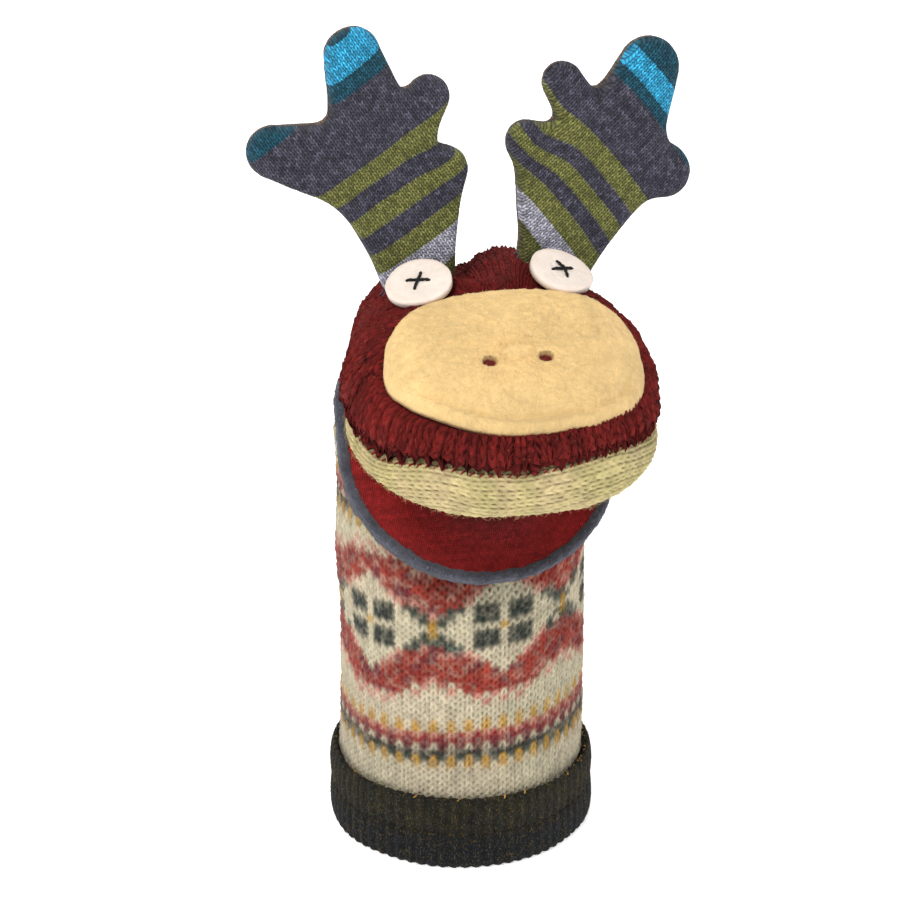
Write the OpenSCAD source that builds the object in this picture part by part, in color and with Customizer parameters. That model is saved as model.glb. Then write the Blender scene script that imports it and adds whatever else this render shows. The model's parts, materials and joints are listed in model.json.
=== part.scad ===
// Moose-style hand puppet sewn from reclaimed sweater knit.
// Units are millimetres, +Z is up and the face looks along -Y.
// The origin is the centre of the hand opening, in the plane of the cuff's lower edge.

/* [Sleeve] */
// Outer radius of the knitted sleeve
sleeve_r = 57.6; // [50:0.1:64]
// Thickness of the sleeve knit
knit_t = 2.6; // [2:0.1:4]
// Height of the sleeve's upper rim at the back
sleeve_top = 200; // [190:1:205]
// Height of the sleeve's upper rim at the front, under the chin
throat_z = 120; // [110:1:134]

/* [Cuff] */
// Height of the ribbed cuff
cuff_h = 32; // [24:1:40]
// Thickness of the ribbed band
cuff_t = 2.9; // [2:0.1:4]

/* [Head] */
// Half width of the muzzle
muzzle_w = 64; // [60:1:68]
// Half width of the head at the antlers
brow_w = 50; // [47:1:53]
// How far the head sits to its own left on the sleeve
head_dx = 4; // [0:1:6]
// Thickness of the head knit
head_t = 3; // [2:0.1:4]
// Diameter of the nostril holes in the muzzle patch
nostril_d = 6; // [4:0.5:8]

/* [Mouth] */
// Length of the lower jaw from the mouth corners to its tip
jaw_len = 97; // [90:1:100]
// Half width of the lower jaw
jaw_w = 62; // [56:1:64]
// Angle of the lower jaw below level at rest
jaw_drop = 51.3; // [50:0.1:54]
// Depth of the lower jaw with its thumb pocket
jaw_t = 15; // [14:0.5:15]

/* [Eyes] */
// Diameter of the felt discs
eye_d = 28; // [24:1:30]
// Thickness of the felt discs
eye_t = 3.4; // [2:0.1:4]

/* [Antlers] */
// Thickness of a stuffed antler
antler_t = 21; // [18:1:22]
// Distance between the middles of the two antlers' seams
antler_gap = 58; // [56:1:60]

/* [Hidden] */
$fn = 96;

fit = 0.3;                          // air between two sewn layers
sleeve_ri = sleeve_r - knit_t;      // inner radius of the sleeve
hem_ri = sleeve_ri - 1.4;           // inner radius of the turned layer: the hand opening
cuff_ri = sleeve_r + fit;           // inner radius of the outer cuff layer
cuff_r = cuff_ri + cuff_t;
hem_h = 26;                         // height of the layer turned inside the cuff
throat_slope = 1.25;                // rise of the sleeve's front rim per millimetre back

hinge_y = -15;                      // line through the mouth corners
hinge_z = 226;
palate_slope = 0.237;               // fall of the palate per millimetre forward
neck_z = 221;                       // lower rim of the head behind the mouth
head_front = -121;
head_back = 52;
widest_y = -60;                     // where the muzzle is widest
head_rings = 16;
head_sides = 28;
plan_n = 2.2;                       // squareness of the muzzle seen from above
top_n = 0.9;                        // squareness of a section's upper half
floor_n = 0.5;                      // squareness of a section's lower half

// Crown of the head along its middle, as distance along Y and height
crown = [[-121, 221], [-118, 235], [-108, 245], [-86, 257], [-60, 269], [-40, 274],
    [-10, 276], [20, 272], [38, 259], [47, 245], [52, 226]];
// Seam between the red head and the cream lip
lip_line = [[-130, 221], [-60, 229], [-12, 229]];

eye_dx = 30;
eye_y = -42;
eye_z = 277.5;
antler_y = -14;
antler_z = 268;
head_dome_r = 86.6;                 // round that the antlers' lower ends are cut to
head_dome_z = 195;

function smooth(t) = t <= 0 ? 0 : t >= 1 ? 1 : t * t * (3 - 2 * t);
function spow(v, n) = sign(v) * pow(abs(v), n);
function bulge(t, n) = pow(max(0, 1 - pow(abs(t), n)), 1 / n);
function floor_z(y) = y > hinge_y ? neck_z : hinge_z + palate_slope * (y - hinge_y);
function crown_z(y) = lookup(y, crown);
function plan_w(y) =
    y < widest_y ? muzzle_w * bulge((widest_y - y) / (widest_y - head_front), plan_n)
    : y < 0 ? muzzle_w + (brow_w - muzzle_w) * smooth((y - widest_y) / -widest_y)
    : brow_w * bulge(y / head_back, plan_n);

// One section of the head, shrunk by inset
function head_ring(y, inset) =
    let (w = max(0.6, plan_w(y) - inset),
         low = floor_z(y) + inset,
         high = max(low + 2, crown_z(y) - inset),
         mid = low + (high - low) * 0.38)
    [for (i = [0 : head_sides - 1])
        let (a = 360 * i / head_sides)
        [head_dx + w * spow(cos(a), 0.8), y,
         a < 180 ? mid + (high - mid) * spow(sin(a), top_n)
                 : mid + (mid - low) * spow(sin(a), floor_n)]];

// Height of the head's upper surface above a point of its plan
function head_z(x, y) =
    let (mid = floor_z(y) + (crown_z(y) - floor_z(y)) * 0.38,
         c = pow(min(1, abs(x - head_dx) / plan_w(y)), 1.25))
    mid + (crown_z(y) - mid) * pow(1 - c * c, top_n / 2);

// Closed solid of the head's outer shape, shrunk by inset
module head_form(inset) {
    y0 = head_front + inset;
    y1 = head_back - inset;
    rings = [for (i = [0 : head_rings])
        let (y = (y0 + y1) / 2 - (y1 - y0) / 2 * cos(4 + 172 * i / head_rings))
        head_ring(y, inset)];
    points = [for (r = rings) each r];
    n = head_sides;
    last = head_rings * n;
    walls = [for (k = [0 : head_rings - 1]) for (i = [0 : n - 1])
        let (a = k * n + i, b = k * n + (i + 1) % n)
        each [[a, b, b + n], [a, b + n, a + n]]];
    polyhedron(points, concat(walls, [[for (i = [n - 1 : -1 : 0]) i]],
        [[for (i = [0 : n - 1]) last + i]]), convexity = 6);
}

module head_skin() {
    difference() {
        head_form(0);
        head_form(head_t);
        pocket_room(3);
    }
}

// Extrudes a profile drawn in Y and Z across the whole width of the head
module across(profile) {
    rotate([90, 0, 90]) translate([0, 0, -100]) linear_extrude(200) polygon(profile);
}

// The room for four fingers, and the way down from it into the sleeve
module pocket_room(grow) {
    translate([head_dx - 30 - grow, -86 - grow, 230.5 - grow])
        cube([60 + 2 * grow, 116 + 2 * grow, 12.5 + 2 * grow]);
    translate([head_dx - 30 - grow, -4 - grow, 200])
        cube([60 + 2 * grow, 34 + 2 * grow, 43 + grow]);
}

module sleeve_knit() {
    color("ivory") difference() {
        rotate_extrude() translate([sleeve_ri, hem_h + fit])
            square([knit_t, sleeve_top - hem_h - fit]);
        across([[-70, throat_z - 12 * throat_slope],
            [-58 + (sleeve_top - throat_z) / throat_slope, sleeve_top],
            [-58 + (sleeve_top - throat_z) / throat_slope, 230], [-70, 230]]);
    }
}

module sleeve_back_seam() {
    color("linen") translate([-4, sleeve_ri - 2.6, hem_h + 9])
        cube([8, 2, sleeve_top - hem_h - 13]);
}

module cuff_band() {
    color("darkslategray") rotate_extrude() translate([cuff_ri, 0]) square([cuff_t, cuff_h]);
}

module cuff_hem() {
    color("darkslategray") rotate_extrude() translate([hem_ri, 0]) square([sleeve_r - hem_ri, hem_h]);
}

module cuff_join_thread() {
    color("goldenrod") rotate_extrude() translate([sleeve_r + 1.2, cuff_h + 0.8]) circle(0.7, $fn = 16);
}

module neck_gusset() {
    color("maroon") intersection() {
        rotate_extrude() polygon([[sleeve_ri, sleeve_top + 0.5], [sleeve_r, sleeve_top + 0.5],
            [51.5, neck_z - 0.5], [49, neck_z - 0.5]]);
        translate([-70, 0, 180]) cube([140, 70, 60]);
    }
}

module head_top_panel() {
    color("darkred") intersection() {
        head_skin();
        across(concat([for (p = lip_line) p], [[-12, 200], [18, 200], [18, 300], [-130, 300]]));
    }
}

module head_back_panel() {
    color("maroon") intersection() {
        head_skin();
        across([[18.3, 200], [70, 200], [70, 300], [18.3, 300]]);
    }
}

module palate_panel() {
    color("palegoldenrod") intersection() {
        head_skin();
        across(concat([for (p = lip_line) p - [0, 0.3]], [[-12, 180], [-130, 180]]));
    }
}

// Short stitches that hold the lip to the head, one every few millimetres round the muzzle
module lip_seam_thread() {
    color("darkred") for (a = [0 : 12 : 180]) {
        y = widest_y - (widest_y - head_front) * sin(a);
        x = head_dx - sign(cos(a)) * (plan_w(y) + 1);
        translate([x, y - 1.2 * sin(a), lookup(y, lip_line) + 1]) sphere(0.8, $fn = 16);
    }
}

// Rounded outline of the felt patch, drawn flat: wide across, short front to back
module patch_outline() {
    polygon([for (a = [0 : 7.5 : 352.5])
        [56 * spow(cos(a), 0.85), (sin(a) > 0 ? 40 : 38) * spow(sin(a), 0.9)]]);
}

module muzzle_patch() {
    color("wheat") difference() {
        intersection() {
            difference() {
                head_form(-4);
                head_form(-1.3);
                head_form(0);
            }
            translate([head_dx, -87, 258]) rotate([29, 0, 0]) translate([0, 0, -22])
                linear_extrude(40) patch_outline();
        }
        for (s = [-1, 1])
            translate([head_dx + 11.8 * s, -90.5, 256]) rotate([29, 0, 0])
                cylinder(d = nostril_d, h = 60, center = true, $fn = 32);
    }
}

module head_stuffing() {
    color("whitesmoke") difference() {
        head_form(head_t + 0.4);
        pocket_room(2.2);
        translate([-100, -15, 180]) cube([200, 100, 46]);
    }
}

module finger_pocket() {
    color("gray") difference() {
        pocket_room(1.6);
        pocket_room(0);
        translate([-100, -20, 190]) cube([200, 100, 33]);
    }
}

module mouth_corner_tacks() {
    color("darkred") for (s = [-1, 1])
        translate([head_dx + s * (plan_w(hinge_y) + 1.5), hinge_y + 2, hinge_z - 3]) rotate([40, 0, 0])
            cylinder(r = 1, h = 5, center = true, $fn = 16);
}

// Puts a child in the plane of an eye, facing up, outwards and forwards
module at_eye(side) {
    translate([head_dx + side * eye_dx, eye_y, eye_z]) rotate([22, 0, 0]) rotate([0, 15 * side, 0])
        children();
}

module eye_disc(side) {
    at_eye(side) cylinder(d = eye_d, h = eye_t);
}

module eye_left() {
    color("floralwhite") eye_disc(1);
}

module eye_right() {
    color("floralwhite") eye_disc(-1);
}

// Two crossed strands of thick yarn lying on a disc
module eye_cross(side) {
    at_eye(side) translate([0, 0, eye_t + 0.9]) {
        rotate([0, 90, 45]) cylinder(r = 0.8, h = 9, center = true, $fn = 16);
        rotate([0, 90, -45]) cylinder(r = 0.8, h = 9, center = true, $fn = 16);
    }
}

module eye_cross_left() {
    color("black") eye_cross(1);
}

module eye_cross_right() {
    color("black") eye_cross(-1);
}

// Ladder stitches round the foot of an antler, just clear of it
module antler_stitches(side) {
    for (a = [15 : 30 : 345]) {
        x = head_dx + side * (antler_gap / 2 + 19 * cos(a));
        y = antler_y + 14.8 * sin(a);
        translate([x, y, head_z(x, y) + 1.9]) sphere(0.6, $fn = 16);
    }
}

module antler_stitches_left() {
    color("dimgray") antler_stitches(1);
}

module antler_stitches_right() {
    color("dimgray") antler_stitches(-1);
}

// Places a jaw layer: drawn flat with the tip towards -Y and the mouth side up
module in_jaw() {
    translate([0, hinge_y, hinge_z]) rotate([jaw_drop, 0, 0]) children();
}

jaw_root = 8;                       // gap between the fold and the jaw's rear edge
jaw_bow = 60;                       // length of the jaw's rounded end
pocket_w = 17;                      // half width of the thumb pocket

// Plan of the jaw: straight sides and a half ellipse, shrunk by inset
module jaw_outline(inset, root) {
    polygon(concat(
        [for (a = [0 : 9 : 180])
            [(jaw_w - inset) * cos(a), -(jaw_len - jaw_bow) - (jaw_bow - inset) * sin(a)]],
        [[-(jaw_w - inset) + 2, -root], [jaw_w - inset - 2, -root]]));
}

module jaw_lining() {
    color("firebrick") in_jaw() translate([0, 0, -2.5]) linear_extrude(2.5)
        jaw_outline(3.3, jaw_root);
}

module jaw_padding() {
    color("whitesmoke") in_jaw() difference() {
        translate([0, 0, -12]) linear_extrude(9.2) jaw_outline(3.3, jaw_root);
        translate([-pocket_w, -80, -12.5]) cube([2 * pocket_w, 90, 7.6]);
    }
}

module chin_shell() {
    color("slategray") in_jaw() difference() {
        translate([0, 0, -jaw_t]) linear_extrude(jaw_t) jaw_outline(0, jaw_root);
        translate([0, 0, -12.3]) linear_extrude(20) jaw_outline(3, jaw_root - 3);
    }
}

// Row of tacking stitches that closes the chin's dart, under the jaw
module chin_tacking() {
    color("dimgray") in_jaw() for (y = [-84 : 8 : -28])
        translate([0, y, -jaw_t - 0.9]) sphere(0.6, $fn = 16);
}

// Antler outline in its own plane: X runs outwards and Y up, from the middle of its seam.
// Each lobe is the place of its tip, its tip's radius and the radius where it joins the palm.
lobes_left = [[53, 43, 12, 18], [46, 90, 13, 19], [8, 84, 9.5, 12], [-8, 60, 9, 12]];
lobes_right = [[59, 61, 11.5, 19], [25, 101, 12, 20], [-8, 82, 9, 13], [-15, 50, 8, 12]];
palm_left = [29, 50, 24];
palm_right = [12, 50, 24];
foot_left = [5, 6, 15];
foot_right = [-2, 6, 15];
heel_left = [-8, 60, 5];            // the inner edge runs from the foot to this circle
heel_right = [-15, 50, 8];

module antler_outline(lobes, palm, foot, heel, inset) {
    offset(r = 3 - inset, $fn = 20) offset(r = -6, $fn = 20) offset(r = 3, $fn = 20) {
        hull() {
            translate([palm[0], palm[1]]) circle(palm[2], $fn = 24);
            translate([foot[0], foot[1]]) circle(foot[2], $fn = 24);
        }
        hull() {
            translate([foot[0], foot[1]]) circle(foot[2], $fn = 24);
            translate([heel[0], heel[1]]) circle(heel[2], $fn = 24);
        }
        for (l = lobes) hull() {
            translate([l[0], l[1]]) circle(l[2], $fn = 20);
            translate([palm[0] + (l[0] - palm[0]) * 0.25, palm[1] + (l[1] - palm[1]) * 0.25])
                circle(l[3], $fn = 20);
        }
    }
}

// Stands an antler layer up in its place, from depth y0 to y1 behind its middle plane
module in_antler(side, y0, y1) {
    difference() {
        translate([head_dx + side * antler_gap / 2, antler_y + y1, antler_z]) rotate([90, 0, 0])
            linear_extrude(y1 - y0) scale([side, 1]) children();
        translate([head_dx, 0, head_dome_z]) rotate([90, 0, 0])
            cylinder(r = head_dome_r, h = 100, center = true);
    }
}

module antler_front_left() {
    color("darkolivegreen") difference() {
        in_antler(1, -antler_t / 2, -0.15) antler_outline(lobes_left, palm_left, foot_left, heel_left, 0);
        in_antler(1, -antler_t / 2 + 2.5, 5) antler_outline(lobes_left, palm_left, foot_left, heel_left, 2.5);
    }
}

module antler_back_left() {
    color("sienna") difference() {
        in_antler(1, 0.15, antler_t / 2) antler_outline(lobes_left, palm_left, foot_left, heel_left, 0);
        in_antler(1, -5, antler_t / 2 - 2.5) antler_outline(lobes_left, palm_left, foot_left, heel_left, 2.5);
    }
}

module antler_stuffing_left() {
    color("whitesmoke") in_antler(1, -antler_t / 2 + 2.8, antler_t / 2 - 2.8)
        antler_outline(lobes_left, palm_left, foot_left, heel_left, 2.8);
}

module antler_front_right() {
    color("darkolivegreen") difference() {
        in_antler(-1, -antler_t / 2, -0.15) antler_outline(lobes_right, palm_right, foot_right, heel_right, 0);
        in_antler(-1, -antler_t / 2 + 2.5, 5) antler_outline(lobes_right, palm_right, foot_right, heel_right, 2.5);
    }
}

module antler_back_right() {
    color("sienna") difference() {
        in_antler(-1, 0.15, antler_t / 2) antler_outline(lobes_right, palm_right, foot_right, heel_right, 0);
        in_antler(-1, -5, antler_t / 2 - 2.5) antler_outline(lobes_right, palm_right, foot_right, heel_right, 2.5);
    }
}

module antler_stuffing_right() {
    color("whitesmoke") in_antler(-1, -antler_t / 2 + 2.8, antler_t / 2 - 2.8)
        antler_outline(lobes_right, palm_right, foot_right, heel_right, 2.8);
}

sleeve_knit();
sleeve_back_seam();
cuff_band();
cuff_hem();
cuff_join_thread();
neck_gusset();
head_top_panel();
head_back_panel();
palate_panel();
lip_seam_thread();
muzzle_patch();
head_stuffing();
finger_pocket();
mouth_corner_tacks();
eye_left();
eye_right();
eye_cross_left();
eye_cross_right();
antler_stitches_left();
antler_stitches_right();
jaw_lining();
jaw_padding();
chin_shell();
chin_tacking();
antler_front_left();
antler_back_left();
antler_stuffing_left();
antler_front_right();
antler_back_right();
antler_stuffing_right();
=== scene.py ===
import bpy
import json
import math
import numpy as np
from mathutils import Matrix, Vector


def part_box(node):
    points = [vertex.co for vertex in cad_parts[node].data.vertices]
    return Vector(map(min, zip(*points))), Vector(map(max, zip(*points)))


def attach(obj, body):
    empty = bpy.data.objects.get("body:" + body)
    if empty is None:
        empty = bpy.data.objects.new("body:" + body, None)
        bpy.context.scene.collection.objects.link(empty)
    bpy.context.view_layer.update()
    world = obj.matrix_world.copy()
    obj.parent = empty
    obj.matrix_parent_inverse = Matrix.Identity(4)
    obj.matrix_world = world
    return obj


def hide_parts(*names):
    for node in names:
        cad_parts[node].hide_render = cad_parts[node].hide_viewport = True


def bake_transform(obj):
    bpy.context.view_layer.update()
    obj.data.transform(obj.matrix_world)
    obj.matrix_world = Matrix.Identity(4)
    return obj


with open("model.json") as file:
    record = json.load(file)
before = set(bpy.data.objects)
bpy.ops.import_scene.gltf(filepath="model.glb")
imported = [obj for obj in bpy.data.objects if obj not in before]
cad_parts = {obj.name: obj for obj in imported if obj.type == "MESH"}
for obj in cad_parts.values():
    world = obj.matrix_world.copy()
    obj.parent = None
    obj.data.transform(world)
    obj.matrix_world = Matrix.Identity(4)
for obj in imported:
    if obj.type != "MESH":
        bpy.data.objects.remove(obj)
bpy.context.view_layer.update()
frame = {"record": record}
MM = 0.001
rng = np.random.default_rng(11)


# ---------------------------------------------------------------- sizes, in millimetres

def node_mm(name):
    """Lowest and highest corner of a CAD node, in millimetres."""
    low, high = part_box(name)
    return np.array(low) / MM, np.array(high) / MM


def joint_mm(name):
    """A point on a joint's axis, in millimetres."""
    for j in frame["record"]["behaviour"]["joints"]:
        if j["name"] == name:
            return np.array(j["pos_m"]) / MM


SLEEVE_R = node_mm("sleeve_knit")[1][0]
CUFF_R = node_mm("cuff_band")[1][0]
CUFF_H = node_mm("cuff_band")[1][2]
HEM_H = node_mm("cuff_hem")[1][2]
HEAD_LOW, HEAD_HIGH = node_mm("head_top_panel")
HEAD_DX = (HEAD_LOW[0] + HEAD_HIGH[0]) / 2
MUZZLE_W = (HEAD_HIGH[0] - HEAD_LOW[0]) / 2
HEAD_FRONT = HEAD_LOW[1]
HEAD_BACK = node_mm("head_back_panel")[1][1]
NECK_Z = node_mm("head_back_panel")[0][2]
HINGE = joint_mm("jaw_hinge")
JAW_HALF = node_mm("chin_shell")[1][0]
BROW_W = 50.0
WIDEST_Y = -60.0
JAW_DROP = math.radians(51.3)
JAW_LEN = 97.0
JAW_BOW = 60.0
JAW_ON = np.array((0.0, -math.cos(JAW_DROP), -math.sin(JAW_DROP)))
JAW_UP = np.array((0.0, -math.sin(JAW_DROP), math.cos(JAW_DROP)))
PALATE_RISE = 0.237                      # the roof of the mouth climbs this much for each mm towards the back


# ---------------------------------------------------------------- small tools

def smooth(t):
    """0 below 0, 1 above 1, and an even curve between."""
    t = np.clip(t, 0.0, 1.0)
    return t * t * (3 - 2 * t)


def lerp(a, b, t):
    return a + (b - a) * t


def hash3(i, j, k, seed):
    """One repeatable number from 0 to 1 for each triple of whole numbers."""
    n = (i * 374761393 + j * 668265263 + k * 2147483647 + seed * 144665) & 0xFFFFFFFF
    n = ((n ^ (n >> 13)) * 1274126177) & 0xFFFFFFFF
    return ((n ^ (n >> 16)) & 0xFFFF) / 65535.0


def xyz(x, y, z):
    """Points from three arrays or numbers that fit each other."""
    return np.stack(np.broadcast_arrays(x, y, z), -1)


def noise(p, size, seed=0):
    """Smooth noise from 0 to 1 at points p (..., 3), with features about size long."""
    q = np.asarray(p, float) / size + 1000.0
    i = np.floor(q).astype(np.int64)
    f = q - i
    f = f * f * (3 - 2 * f)
    out = np.zeros(q.shape[:-1])
    for a in (0, 1):
        for b in (0, 1):
            for c in (0, 1):
                w = (np.where(a, f[..., 0], 1 - f[..., 0]) * np.where(b, f[..., 1], 1 - f[..., 1])
                     * np.where(c, f[..., 2], 1 - f[..., 2]))
                out += w * hash3(i[..., 0] + a, i[..., 1] + b, i[..., 2] + c, seed)
    return out


def cell(u, v, seed):
    """One random number from 0 to 1 for each stitch (u, v)."""
    return hash3(np.asarray(u).astype(np.int64) + 512, np.asarray(v).astype(np.int64) + 512, seed, seed)


def grid_normals(p, wrap_u):
    """Unit normals of a grid of points p[v, u]."""
    if wrap_u:
        du = np.roll(p, -1, 1) - np.roll(p, 1, 1)
    else:
        du = np.gradient(p, axis=1)
    dv = np.gradient(p, axis=0)
    n = np.cross(du, dv)
    return n / np.maximum(np.linalg.norm(n, axis=2, keepdims=True), 1e-9)


def grid_faces(nv, nu, wrap_u=True, wrap_v=False):
    """Quads of a grid whose vertex number is v * nu + u."""
    u = np.arange(nu if wrap_u else nu - 1)
    v = np.arange(nv if wrap_v else nv - 1)
    uu, vv = np.meshgrid(u, v)
    un, vn = (uu + 1) % nu, (vv + 1) % nv
    return np.stack([vv * nu + uu, vv * nu + un, vn * nu + un, vn * nu + uu], -1).reshape(-1, 4)


def mesh_piece(name, points, faces, material, colour=None, relief=None, knit=None):
    """A mesh object from points in millimetres.
    colour, relief and knit (wale, course) have one value a vertex."""
    points = np.asarray(points, float).reshape(-1, 3) * MM
    faces = [list(map(int, f)) for f in faces]
    me = bpy.data.meshes.new(name)
    me.from_pydata(points.tolist(), [], faces)
    me.validate()
    me.update()
    me.polygons.foreach_set("use_smooth", [True] * len(me.polygons))
    if colour is not None:
        rgba = np.ones((len(points), 4), np.float32)
        rgba[:, :3] = np.clip(np.asarray(colour).reshape(-1, 3), 0, 1)
        a = me.color_attributes.new("Col", "FLOAT_COLOR", "POINT")
        a.data.foreach_set("color", rgba.ravel())
    if relief is not None:
        a = me.attributes.new("relief", "FLOAT", "POINT")
        a.data.foreach_set("value", np.asarray(relief, np.float32).ravel())
    if knit is not None:
        a = me.attributes.new("knit", "FLOAT_VECTOR", "POINT")
        uvw = np.zeros((len(points), 3), np.float32)
        uvw[:, :2] = np.asarray(knit).reshape(-1, 2)
        a.data.foreach_set("vector", uvw.ravel())
    me.materials.append(material)
    o = bpy.data.objects.new(name, me)
    bpy.context.scene.collection.objects.link(o)
    return o


def place(o, body, slot, *nodes):
    """Says which body a piece moves with and hides the CAD nodes it stands for. slot is not used."""
    if nodes:
        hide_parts(*nodes)
    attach(o, body)


def join_parts(parts):
    """(points, faces, colours) lists of several solids as one."""
    pts, faces, cols, n = [], [], [], 0
    for p, f, c in parts:
        p = np.asarray(p, float).reshape(-1, 3)
        pts.append(p)
        faces.extend([[i + n for i in face] for face in f])
        cols.append(np.broadcast_to(np.asarray(c, float), (len(p), 3)))
        n += len(p)
    return np.concatenate(pts), faces, np.concatenate(cols)


def stitches(u, v, spread=0.30, leg=0.205, reach=1.5):
    """Stockinette: height from 0 to 1, wale and course of the yarn that shows at u wales and v courses."""
    u, v = np.asarray(u, float), np.asarray(v, float)
    a = u - np.floor(u)
    side = np.where(a < 0.5, -1.0, 1.0)
    best = np.zeros_like(a)
    row = np.floor(v)
    for k in (1, 0):
        s = (v - np.floor(v) + k) / reach
        axis = 0.5 + side * (0.07 + spread * np.clip(s, 0, 1) ** 0.8)
        across = np.sqrt(np.clip(1 - ((a - axis) / leg) ** 2, 0, 1))
        h = across * np.sin(np.pi * np.clip(s, 0, 1)) ** 0.55
        on = h > best
        best = np.where(on, h, best)
        row = np.where(on, np.floor(v) - k, row)
    return best, np.floor(u), row


# ---------------------------------------------------------------- materials

class Nodes:
    """Short names for building a material's nodes."""

    def __init__(self, name):
        self.m = bpy.data.materials.new(name)
        self.m.use_nodes = True
        self.t = self.m.node_tree
        self.bsdf = self.t.nodes["Principled BSDF"]

    def add(self, kind, **values):
        n = self.t.nodes.new(kind)
        for k, v in values.items():
            if hasattr(n, k):
                setattr(n, k, v)
            else:
                n.inputs[k].default_value = v
        return n

    def link(self, a, b):
        self.t.links.new(a, b)

    def math(self, op, a, b=None, clamp=False):
        n = self.t.nodes.new("ShaderNodeMath")
        n.operation = op
        n.use_clamp = clamp
        for i, x in enumerate((a, b)):
            if x is None:
                continue
            if isinstance(x, (int, float)):
                n.inputs[i].default_value = x
            else:
                self.link(x, n.inputs[i])
        return n.outputs[0]

    def mix(self, kind, fac, a, b):
        n = self.t.nodes.new("ShaderNodeMix")
        n.data_type = "RGBA"
        n.blend_type = kind
        for socket, x in ((n.inputs[0], fac), (n.inputs[6], a), (n.inputs[7], b)):
            if isinstance(x, (int, float)):
                socket.default_value = x
            elif isinstance(x, (tuple, list)):
                socket.default_value = (*x[:3], 1)
            else:
                self.link(x, socket)
        return n.outputs[2]

    def ramp(self, x, stops):
        n = self.t.nodes.new("ShaderNodeValToRGB")
        r = n.color_ramp
        while len(r.elements) < len(stops):
            r.elements.new(0.5)
        for e, (pos, col) in zip(r.elements, stops):
            e.position = pos
            e.color = (*col[:3], 1) if isinstance(col, (tuple, list)) else (col, col, col, 1)
        self.link(x, n.inputs[0])
        return n.outputs[0]


def knit_nodes(k, heather):
    """Height of a stockinette stitch from the knit attribute, and a random value for each stitch."""
    sep = k.add("ShaderNodeSeparateXYZ")
    k.link(k.add("ShaderNodeAttribute", attribute_name="knit").outputs["Vector"], sep.inputs[0])
    u, v = sep.outputs[0], sep.outputs[1]
    s = k.math("ABSOLUTE", k.math("SUBTRACT", k.math("FRACT", u), 0.5))
    along_leg = k.math("SUBTRACT", v, k.math("MULTIPLY", s, 1.5))
    across = k.math("DIVIDE", k.math("SUBTRACT", s, 0.25), 0.235)
    across = k.math("SUBTRACT", 1.0, k.math("MULTIPLY", across, across), clamp=True)
    wave = k.math("SINE", k.math("MULTIPLY", k.math("FRACT", along_leg), math.pi))
    height = k.math("MULTIPLY", k.math("POWER", across, 0.5), k.math("POWER", wave, 0.5))
    cellv = k.add("ShaderNodeCombineXYZ")
    k.link(k.math("FLOOR", k.math("MULTIPLY", u, 2.0)), cellv.inputs[0])
    k.link(k.math("FLOOR", along_leg), cellv.inputs[1])
    white = k.add("ShaderNodeTexWhiteNoise")
    k.link(cellv.outputs[0], white.inputs["Vector"])
    tone = k.math("ADD", k.math("MULTIPLY", white.outputs["Value"], 2 * heather), 1 - heather)
    return height, tone


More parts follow.
